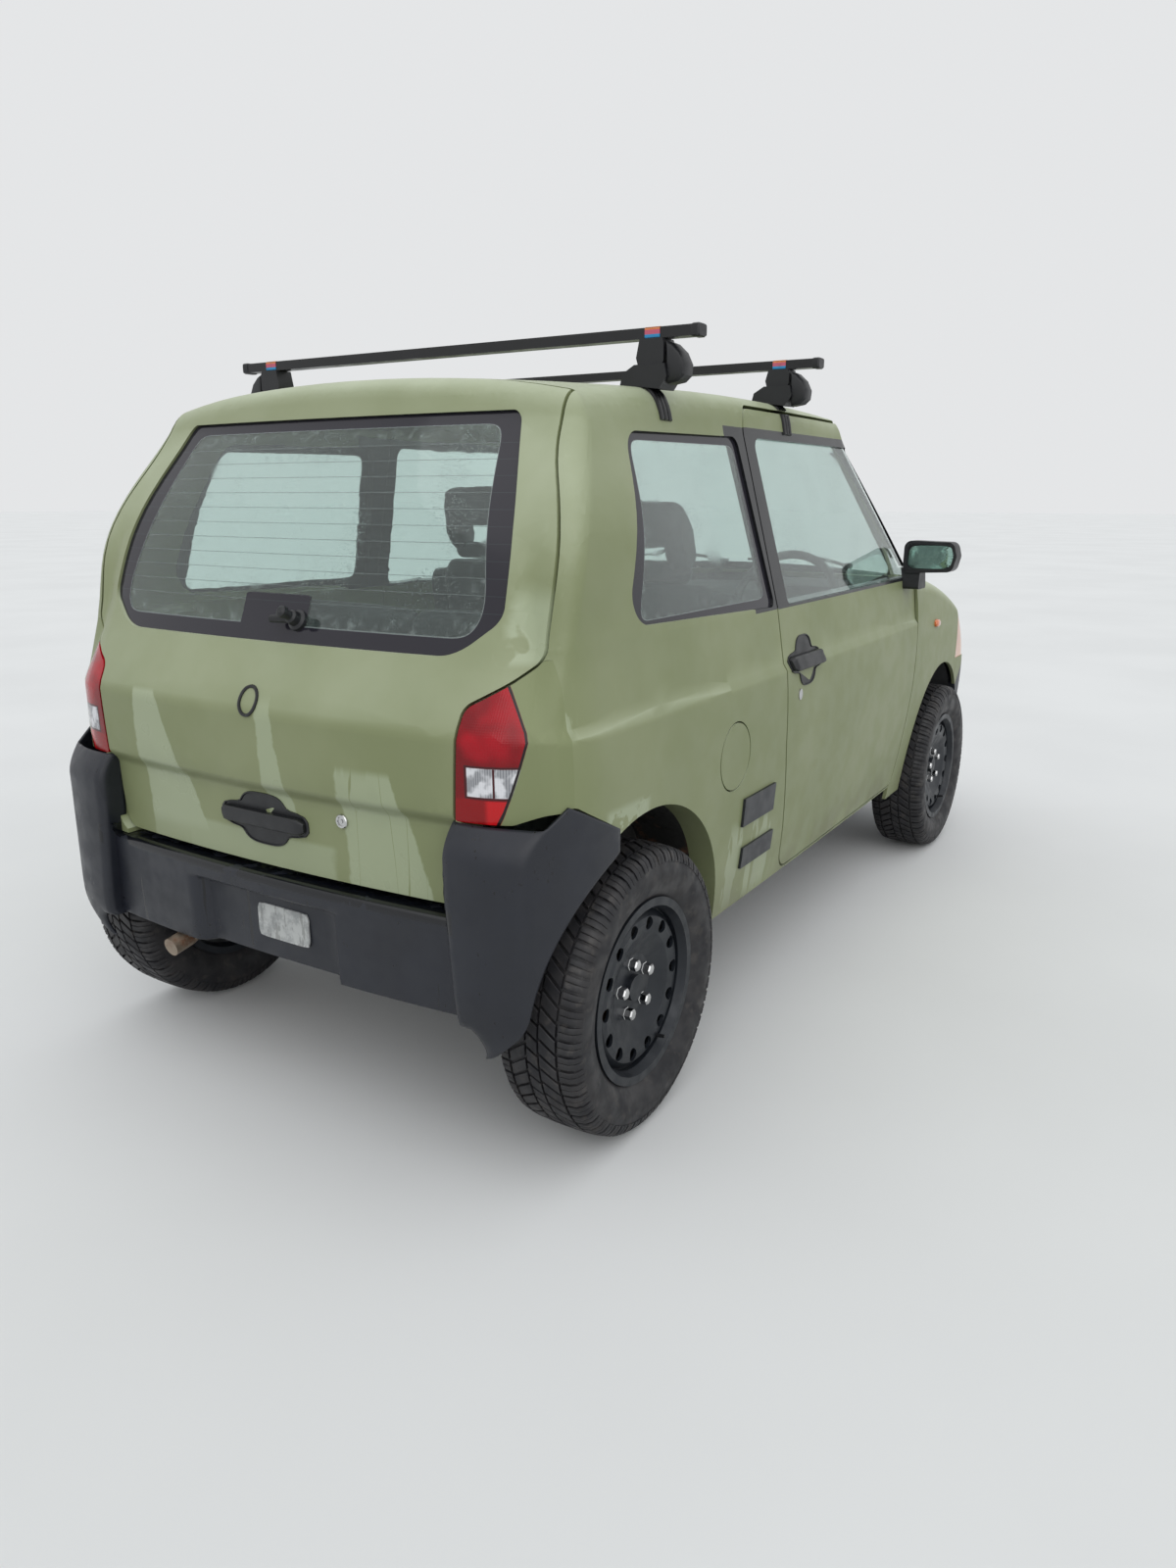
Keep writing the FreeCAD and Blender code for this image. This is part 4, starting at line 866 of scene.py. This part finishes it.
# Panels: the solids' own, with the forms that they lack
crease_low = 0.735
crease_high = 0.769
crease_depth = 0.018
roof_lift = 0.026
lift_low = 1.486
lift_high = 1.545
corner_x = -1.456
corner_y = 0.537
bulge_low = 1.03
bulge_high = 1.55
bulge_side = 0.034
bulge_rear = 0.026


def crease(z):
    """How far the tailgate's lower part stands in."""
    return crease_depth * (1 - step_up(z, crease_low, crease_high))


def lifted(z):
    return z + roof_lift * step_up(z, lift_low, lift_high)


def bent(place):
    """The body's finer form: rounder rear corners, a fuller rear end and a higher roof."""
    x, y, z = place
    side = abs(y)
    u, v = corner_x - x, side - corner_y
    if u > 0 and v > 0:
        far = hypot(u, v)
        c, s = u / far, v / far
        k = (c ** 8 + s ** 8) ** 0.125 / (c ** 2.2 + s ** 2.2) ** (1 / 2.2)
        k = 1 + (k - 1) * (1 - 0.6 * step_up(z, 1.05, 1.35))
        x, side = corner_x - u * k, corner_y + v * k
    if bulge_low < z < bulge_high:
        full = sin(pi * (z - bulge_low) / (bulge_high - bulge_low)) ** 2
        side += bulge_side * full * step_up(-x, 0.8, 1.35) * side / 0.65
        x -= bulge_rear * full * step_up(-x, 1.2, 1.42)
    return Vector((x, copysign(side, y), lifted(z)))


def tailgate_bent(place):
    return bent(place) + Vector((crease(place.z), 0, 0))


def reshaped(node, body="body", more_heights=(), move=bent):
    """A copy of a panel in its own look, cut into bands so that it can bend, and moved point by point."""
    form = bmesh.new()
    form.from_mesh(NODES[node].data)
    bmesh.ops.remove_doubles(form, verts=form.verts, dist=1e-6)
    bands = (evenly(-1.66, -1.45, 8) + evenly(-1.4, -0.92, 5),
             [y * sign for y in evenly(0.53, 0.71, 7) for sign in (1, -1)],
             list(more_heights) + evenly(1.03, 1.555, 16) + [0.6, 0.75, 0.9])
    low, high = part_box(node)
    for axis in (2, 0, 1):
        way = Vector([float(i == axis) for i in range(3)])
        for place in bands[axis]:
            if low[axis] + 0.001 < place < high[axis] - 0.001:
                parts = form.verts[:] + form.edges[:] + form.faces[:]
                bmesh.ops.bisect_plane(form, geom=parts, dist=1e-6, plane_co=way * place, plane_no=way)
    verts = [move(v.co) for v in form.verts]
    form.verts.index_update()
    faces = [[v.index for v in face.verts] for face in form.faces]
    form.free()
    look = NODES[node].material_slots[0].material
    new_piece("skin_" + node, (verts, faces), body, look, [node])


def make_panels():
    reshaped("roof_panel")
    reshaped("windscreen")
    reshaped("quarter_windows")
    reshaped("tail_lamps")
    for sign, side in SIDES:
        reshaped("side_frame_" + side)
        reshaped("door_panel_" + side, "door_" + side)
    folds = evenly(crease_low, crease_high, 7)
    reshaped("tailgate_panel", "tailgate", folds, tailgate_bent)
    reshaped("tailgate_glass", "tailgate")


# What the tailgate carries
badge_z = 0.936
badge_half_width = 0.0245
badge_half_height = 0.0285
stub_y = -0.074
stub_z = 1.096
pane_normal = Vector((-0.886, 0, 0.463))


def make_badge():
    skin = skins("tailgate_panel")
    section = ((-0.0036, 0.001), (-0.003, -0.0034), (0.0, -0.0044), (0.003, -0.0034), (0.0036, 0.001))
    rings = []
    for c, s in circle(48):
        y, z = badge_half_width * c, badge_z + badge_half_height * s
        x = skin((-2.0, y, z), (1, 0, 0)).x
        rings.append([(x + dx, y + c * dr, z + s * dr) for dr, dx in section])
    new_piece("badge_ring", loft(rings, closed=True), "tailgate")


def make_wiper_stub():
    foot = bent(skins("tailgate_glass")((-2.5, stub_y, stub_z), (1, 0, 0)))
    side = Vector((0, 1, 0))
    up = pane_normal.cross(side)
    steps = ((-0.004, 0.023), (0.006, 0.022), (0.01, 0.016), (0.024, 0.0145), (0.028, 0.01),
             (0.04, 0.009), (0.043, 0.013), (0.052, 0.012), (0.056, 0.006))
    knob = stacked(circle(24), steps, lambda u, v, out: foot + pane_normal * out + side * u + up * v)
    arm_end = foot + pane_normal * 0.03 + Vector((0, 0.052, -0.01))
    arm = rod(foot + pane_normal * 0.016, arm_end, 0.011, 16, 0.008)
    new_piece("wiper_stub", joined([knob, arm]), "tailgate")


# Roof rack
rack_bar_xs = (-1.006, -0.318)
rack_bar_z = 1.673
lobe_middle = (0.628, 1.61)


def make_foot(bar_x, sign, top):
    """A mount between roof and bar: its body, a round lobe, a pad on the roof and the bar's cap."""
    body = ((0.548, 1.6615), (0.602, 1.6615), (0.606, 1.65), (0.606, top + 0.052), (0.598, top + 0.04),
            (0.545, top + 0.044), (0.54, top + 0.06))
    pad = ((0.505, top + 0.004), (0.512, top + 0.03), (0.54, top + 0.046), (0.612, top + 0.046),
           (0.618, top + 0.02), (0.6, top - 0.004), (0.56, top + 0.001))
    lobe = ((-0.019, 0.045), (-0.006, 0.04), (0.014, 0.022), (0.026, -0.002), (0.024, -0.024),
            (0.01, -0.036), (-0.016, -0.04))
    lobe_steps = ((-0.026, 0.72), (-0.024, 0.88), (-0.018, 1.0), (0.018, 1.0), (0.024, 0.88), (0.026, 0.72))
    cap_steps = ((0.664, 0.92), (0.668, 1.0), (0.68, 1.0), (0.684, 0.86))

    def slab(points, offsets):
        return loft([[(bar_x + dx, sign * y, z) for y, z in points] for dx in offsets])

    return [slab(body, (-0.026, -0.023, 0.023, 0.026)),
            stacked(lobe, lobe_steps,
                    lambda u, v, out: (bar_x + out, sign * (lobe_middle[0] + u), lobe_middle[1] + v)),
            slab(pad, (-0.034, -0.03, 0.03, 0.034)),
            stacked(soft_box(24, 0.0195, 0.0135, 7), cap_steps,
                    lambda u, v, out: (bar_x + u, sign * out, rack_bar_z + v))]


def make_straps(bar_x, sign, roof):
    """Three ribs of a strap, laid over the edge of the roof."""
    section = ((-0.0085, -0.002), (-0.007, 0.0045), (0.0, 0.0065), (0.007, 0.0045), (0.0085, -0.002))
    spots = []
    for z in evenly(1.545, 1.495, 12):
        spot = roof((bar_x, sign * 1.2, z), (0, -sign, 0))
        if spot and abs(spot.y) > 0.4:
            spots.append((abs(spot.y), lifted(z)))
    return [loft([[(bar_x + dx + w, sign * (y + out), z + out * 0.6) for w, out in section]
                  for y, z in spots]) for dx in (-0.0175, 0.0, 0.0175)]


def make_rack():
    roof = skins("roof_panel", "side_frame_left", "side_frame_right", "door_panel_left", "door_panel_right")
    feet, straps, labels = [], [], []
    for bar_x in rack_bar_xs:
        for sign, side in SIDES:
            top = lifted(roof((bar_x, sign * 0.56, 2.0), (0, 0, -1)).z)
            feet += make_foot(bar_x, sign, top)
            straps += make_straps(bar_x, sign, roof)
            labels.append(stacked(soft_box(28, 0.0182, 0.0122, 9), ((0.556, 1.0), (0.592, 1.0)),
                                  lambda u, v, out: (bar_x + u, sign * out, rack_bar_z + v)))
    new_piece("rack_mounts", joined(feet), replaced=["rack_feet"], smooth=34)
    new_piece("rack_straps", joined(straps), material=RACK, smooth=40)
    new_piece("rack_labels", joined(labels), material=label())


# Seats: outlines in X and Z, the front ones from the seat's hinge

def smoothed(points):
    """Corners cut off again and again, which leaves a soft closed outline."""
    for _ in range(3):
        soft = []
        for (px, pz), (qx, qz) in zip(points, points[1:] + points[:1]):
            soft += [(px * s + qx * t, pz * s + qz * t) for s, t in ((0.75, 0.25), (0.25, 0.75))]
        points = soft
    return points


def pillow(outline, start, end, round_r, crown):
    """A stuffed pad: a soft outline in X and Z, carried from start to end along Y with rounded ends."""
    points = smoothed(list(outline))
    mx, mz = (sum(places) / len(points) for places in zip(*points))
    size = max(hypot(p[0] - mx, p[1] - mz) for p in points)
    rings = []
    width = end - start
    for t in evenly(0, 1, 19):
        y = start + width * (0.5 - 0.5 * cos(pi * t))
        edge = min(y - start, end - y, round_r)
        inset = round_r - sqrt(max(0.0, round_r ** 2 - (round_r - edge) ** 2))
        swell = crown * sin(pi * (y - start) / width)
        k = (size - inset + swell) / size
        rings.append([(mx + (x - mx) * k, y, mz + (z - mz) * k) for x, z in points])
    return loft(rings)


def leaned(points, foot_x, foot_z, degrees):
    c, s = cos(radians(degrees)), sin(radians(degrees))
    return [(foot_x + x * c - z * s, foot_z + x * s + z * c) for x, z in points]


seat_y = 0.335
seat_z = 0.62
hinge_z = 0.64
base_pad = ((-0.02, -0.1), (0.44, -0.1), (0.47, 0.035), (0.43, 0.078), (0.2, 0.058), (-0.02, 0.04))
base_side = ((-0.01, -0.09), (0.42, -0.09), (0.45, 0.04), (0.38, 0.092), (0.16, 0.09), (-0.01, 0.075))
back_pad = ((-0.05, 0.0), (0.05, 0.0), (0.04, 0.14), (0.032, 0.48), (0.0, 0.53), (-0.052, 0.5))
back_side = ((-0.04, 0.04), (0.085, 0.06), (0.088, 0.22), (0.052, 0.46), (0.0, 0.5), (-0.045, 0.47))
head_top = ((-0.04, 0.64), (0.034, 0.64), (0.032, 0.715), (0.014, 0.748), (-0.026, 0.748), (-0.042, 0.71))
head_side = ((-0.042, 0.56), (0.03, 0.56), (0.04, 0.64), (0.022, 0.735), (-0.03, 0.735), (-0.048, 0.64))
head_foot = ((-0.03, 0.53), (0.02, 0.53), (0.022, 0.585), (-0.032, 0.585))

# Outline, from and to along Y from the seat's middle, rounding and swell
base_pads = ((base_pad, -0.165, 0.165, 0.03, 0.008), (base_side, -0.235, -0.155, 0.03, 0.006),
             (base_side, 0.155, 0.235, 0.03, 0.006))
back_pads = ((back_pad, -0.165, 0.165, 0.03, 0.006), (back_side, -0.235, -0.15, 0.032, 0.006),
             (back_side, 0.15, 0.235, 0.032, 0.006), (head_top, -0.118, 0.118, 0.03, 0.004),
             (head_side, -0.122, -0.066, 0.026, 0.003), (head_side, 0.066, 0.122, 0.026, 0.003),
             (head_foot, -0.112, 0.112, 0.02, 0.0))


def make_front_seats():
    for side, sign, hinge_x, degrees in (("passenger", 1, -0.275, 14), ("driver", -1, -0.345, 24)):
        middle_y = seat_y * sign
        parts = []
        for pads, foot_z, lean_back in ((base_pads, seat_z, 0), (back_pads, hinge_z, degrees)):
            for outline, start, end, round_r, swell in pads:
                placed = leaned(outline, hinge_x, foot_z, lean_back)
                parts.append(pillow(placed, middle_y + start, middle_y + end, round_r, swell))
        shown_for = ["front_seats"] if sign > 0 else ()
        seat = new_piece("seat_" + side, joined(parts), "body", CLOTH, shown_for, 60)
        places = [middle_y + y for y in (-0.19, 0.19)]
        rails = [rod((hinge_x + 0.02, y, 0.505), (hinge_x + 0.4, y, 0.505), 0.014, 12) for y in places]
        rails += [rod((hinge_x + x, y, 0.44), (hinge_x + x, y, 0.54), 0.012, 12)
                  for x in (0.06, 0.36) for y in places]
        new_piece("seat_rails_" + side, joined(rails), "body", UNDER)


def make_rear_bench():
    cushion = ((-1.06, 0.51), (-0.66, 0.51), (-0.635, 0.6), (-0.68, 0.662), (-0.9, 0.65), (-1.06, 0.63))
    back = ((-1.1, 0.6), (-0.985, 0.625), (-1.005, 0.8), (-1.1, 1.06), (-1.15, 1.085), (-1.19, 1.05))
    parts = [pillow(outline, start, end, 0.035, 0.008)
             for start, end in ((-0.5, -0.005), (0.005, 0.5)) for outline in (cushion, back)]
    bench = new_piece("bench_pads", joined(parts), "body", CLOTH, ["rear_bench"], 60)


# Small parts
mirror_y = 0.7755
mirror_z = 1.1465
repeater_x = 0.919
repeater_z = 0.889


def make_mirrors():
    outline = [(u + 0.1 * v, v) for u, v in soft_box(48, 0.0735, 0.0385, 4.5)]
    steps = ((0.5285, 1.0), (0.527, 1.0), (0.5262, 0.97), (0.5268, 0.5))
    for sign, side in SIDES:
        pane = stacked(outline, steps, lambda u, v, x: (x, sign * (mirror_y + u), mirror_z + v))
        new_piece("mirror_pane_" + side, pane, "door_" + side, MIRROR)


def make_repeaters():
    steps = ((-0.003, 1.0), (0.004, 1.0), (0.009, 0.88), (0.012, 0.6))
    for sign, side in SIDES:
        skin = skins("fender_" + side)

        def on_fender(u, v, out):
            x, z = repeater_x + u, repeater_z + v
            return (x, skin((x, sign * 0.95, z), (0, -sign, 0)).y + sign * out, z)

        lens = stacked(soft_box(32, 0.029, 0.0145, 2.6), steps, on_fender)
        new_piece("repeater_" + side, lens, "body", AMBER)


def make_wipers():
    """Two arms that lie along the foot of the windscreen, each with its blade and its pivot."""
    pane = skins("windscreen")
    parts = []
    for foot_y, tip_y in ((0.1, 0.5), (-0.42, -0.02)):
        points = []
        for t in evenly(0, 1, 9):
            y = foot_y + (tip_y - foot_y) * t
            z = 1.085 + 0.028 * sin(pi * min(1.0, t + 0.1)) + 0.03 * t
            points.append(Vector((pane((2.0, y, z), (-1, 0, 0)).x + 0.018, y, z)))
        arm_off, blade_off = Vector((0.01, 0, 0)), Vector((-0.006, 0, -0.006))
        parts += [rod(a + arm_off, b + arm_off, 0.006, 10) for a, b in zip(points[:5], points[1:6])]
        parts += [rod(a + blade_off, b + blade_off, 0.005, 8) for a, b in zip(points[2:], points[3:])]
        foot, top = points[0] - Vector((0.02, 0, 0)), points[0] + Vector((0.022, 0, 0))
        parts.append(rod(foot, top, 0.014, 16, 0.011))
    new_piece("front_wipers", joined(parts))


make_rear_bumper()
make_plates()
make_wheels()
make_tailgate_handle()
for sign, side in SIDES:
    make_door_handle(sign, side)
make_panels()
make_badge()
make_wiper_stub()
make_rack()
make_front_seats()
make_rear_bench()
make_mirrors()
make_repeaters()
make_wipers()


# Stage

def camera_mix(tree, seen, other):
    """seen for the camera and in mirrors or glass, other for the rays that light the object."""
    ray = tree.nodes.new("ShaderNodeLightPath")
    share = ray.outputs["Is Camera Ray"]
    for name in ("Is Glossy Ray", "Is Transmission Ray"):
        most = tree.nodes.new("ShaderNodeMath")
        most.operation = "MAXIMUM"
        tree.links.new(share, most.inputs[0])
        tree.links.new(ray.outputs[name], most.inputs[1])
        share = most.outputs[0]
    mix = tree.nodes.new("ShaderNodeMixShader")
    tree.links.new(share, mix.inputs[0])
    tree.links.new(other, mix.inputs[1])
    tree.links.new(seen, mix.inputs[2])
    return mix.outputs[0]


def make_floor():
    mesh = bpy.data.meshes.new("floor")
    mesh.from_pydata([(-90, -90, 0), (90, -90, 0), (90, 90, 0), (-90, 90, 0)], [], [(0, 1, 2, 3)])
    floor = placed("floor", mesh)
    n = Nodes("floor_pale")
    shade = n.mix(n.cloud(0.6, 5, 0.3, 0.7), srgb(224, 224, 223), srgb(229, 229, 228))
    floor.data.materials.append(n.finish(shade, 0.8, normal=n.grain(60, 4, 0.05, 0.002)))
    dull = n.add("BsdfDiffuse", {"Color": srgb(150, 150, 148)})
    n.link(camera_mix(n.tree, n.bsdf.outputs[0], dull.outputs[0]), n.out.inputs[0])


def make_sun(name, toward, energy, spread):
    lamp = bpy.data.lights.new(name, "SUN")
    lamp.energy = energy
    lamp.angle = radians(spread)
    placed(name, lamp).rotation_euler = Vector(toward).to_track_quat("-Z", "Y").to_euler()


def make_world():
    world = bpy.data.worlds.new("studio")
    world.use_nodes = True
    tree = world.node_tree
    tree.nodes.clear()
    out = tree.nodes.new("ShaderNodeOutputWorld")
    lights = []
    for color, strength in (((0.78, 0.79, 0.8, 1), 1.0), ((0.93, 0.97, 1.0, 1), 0.72)):
        light = tree.nodes.new("ShaderNodeBackground")
        light.inputs[0].default_value = color
        light.inputs[1].default_value = strength
        lights.append(light.outputs[0])
    tree.links.new(camera_mix(tree, *lights), out.inputs[0])
    scene.world = world


def make_camera():
    yaw, pitch = radians(32.1085), radians(-14.927)
    eye = Vector((-3.1589, -1.7548, 1.3429))
    ahead = Vector((cos(pitch) * cos(yaw), cos(pitch) * sin(yaw), sin(pitch)))
    data = bpy.data.cameras.new("camera")
    data.sensor_width = 36
    data.lens = 24.84
    data.clip_end = 200
    camera = placed("camera", data)
    camera.rotation_euler = ahead.to_track_quat("-Z", "Y").to_euler()
    camera.location = eye
    scene.camera = camera


make_floor()
make_world()
make_sun("sky", (0.35, 0.25, -1.0), 0.75, 100)
make_sun("side", (0.75, 0.8, -0.55), 0.55, 60)
make_camera()

scene.view_settings.view_transform = "Standard"
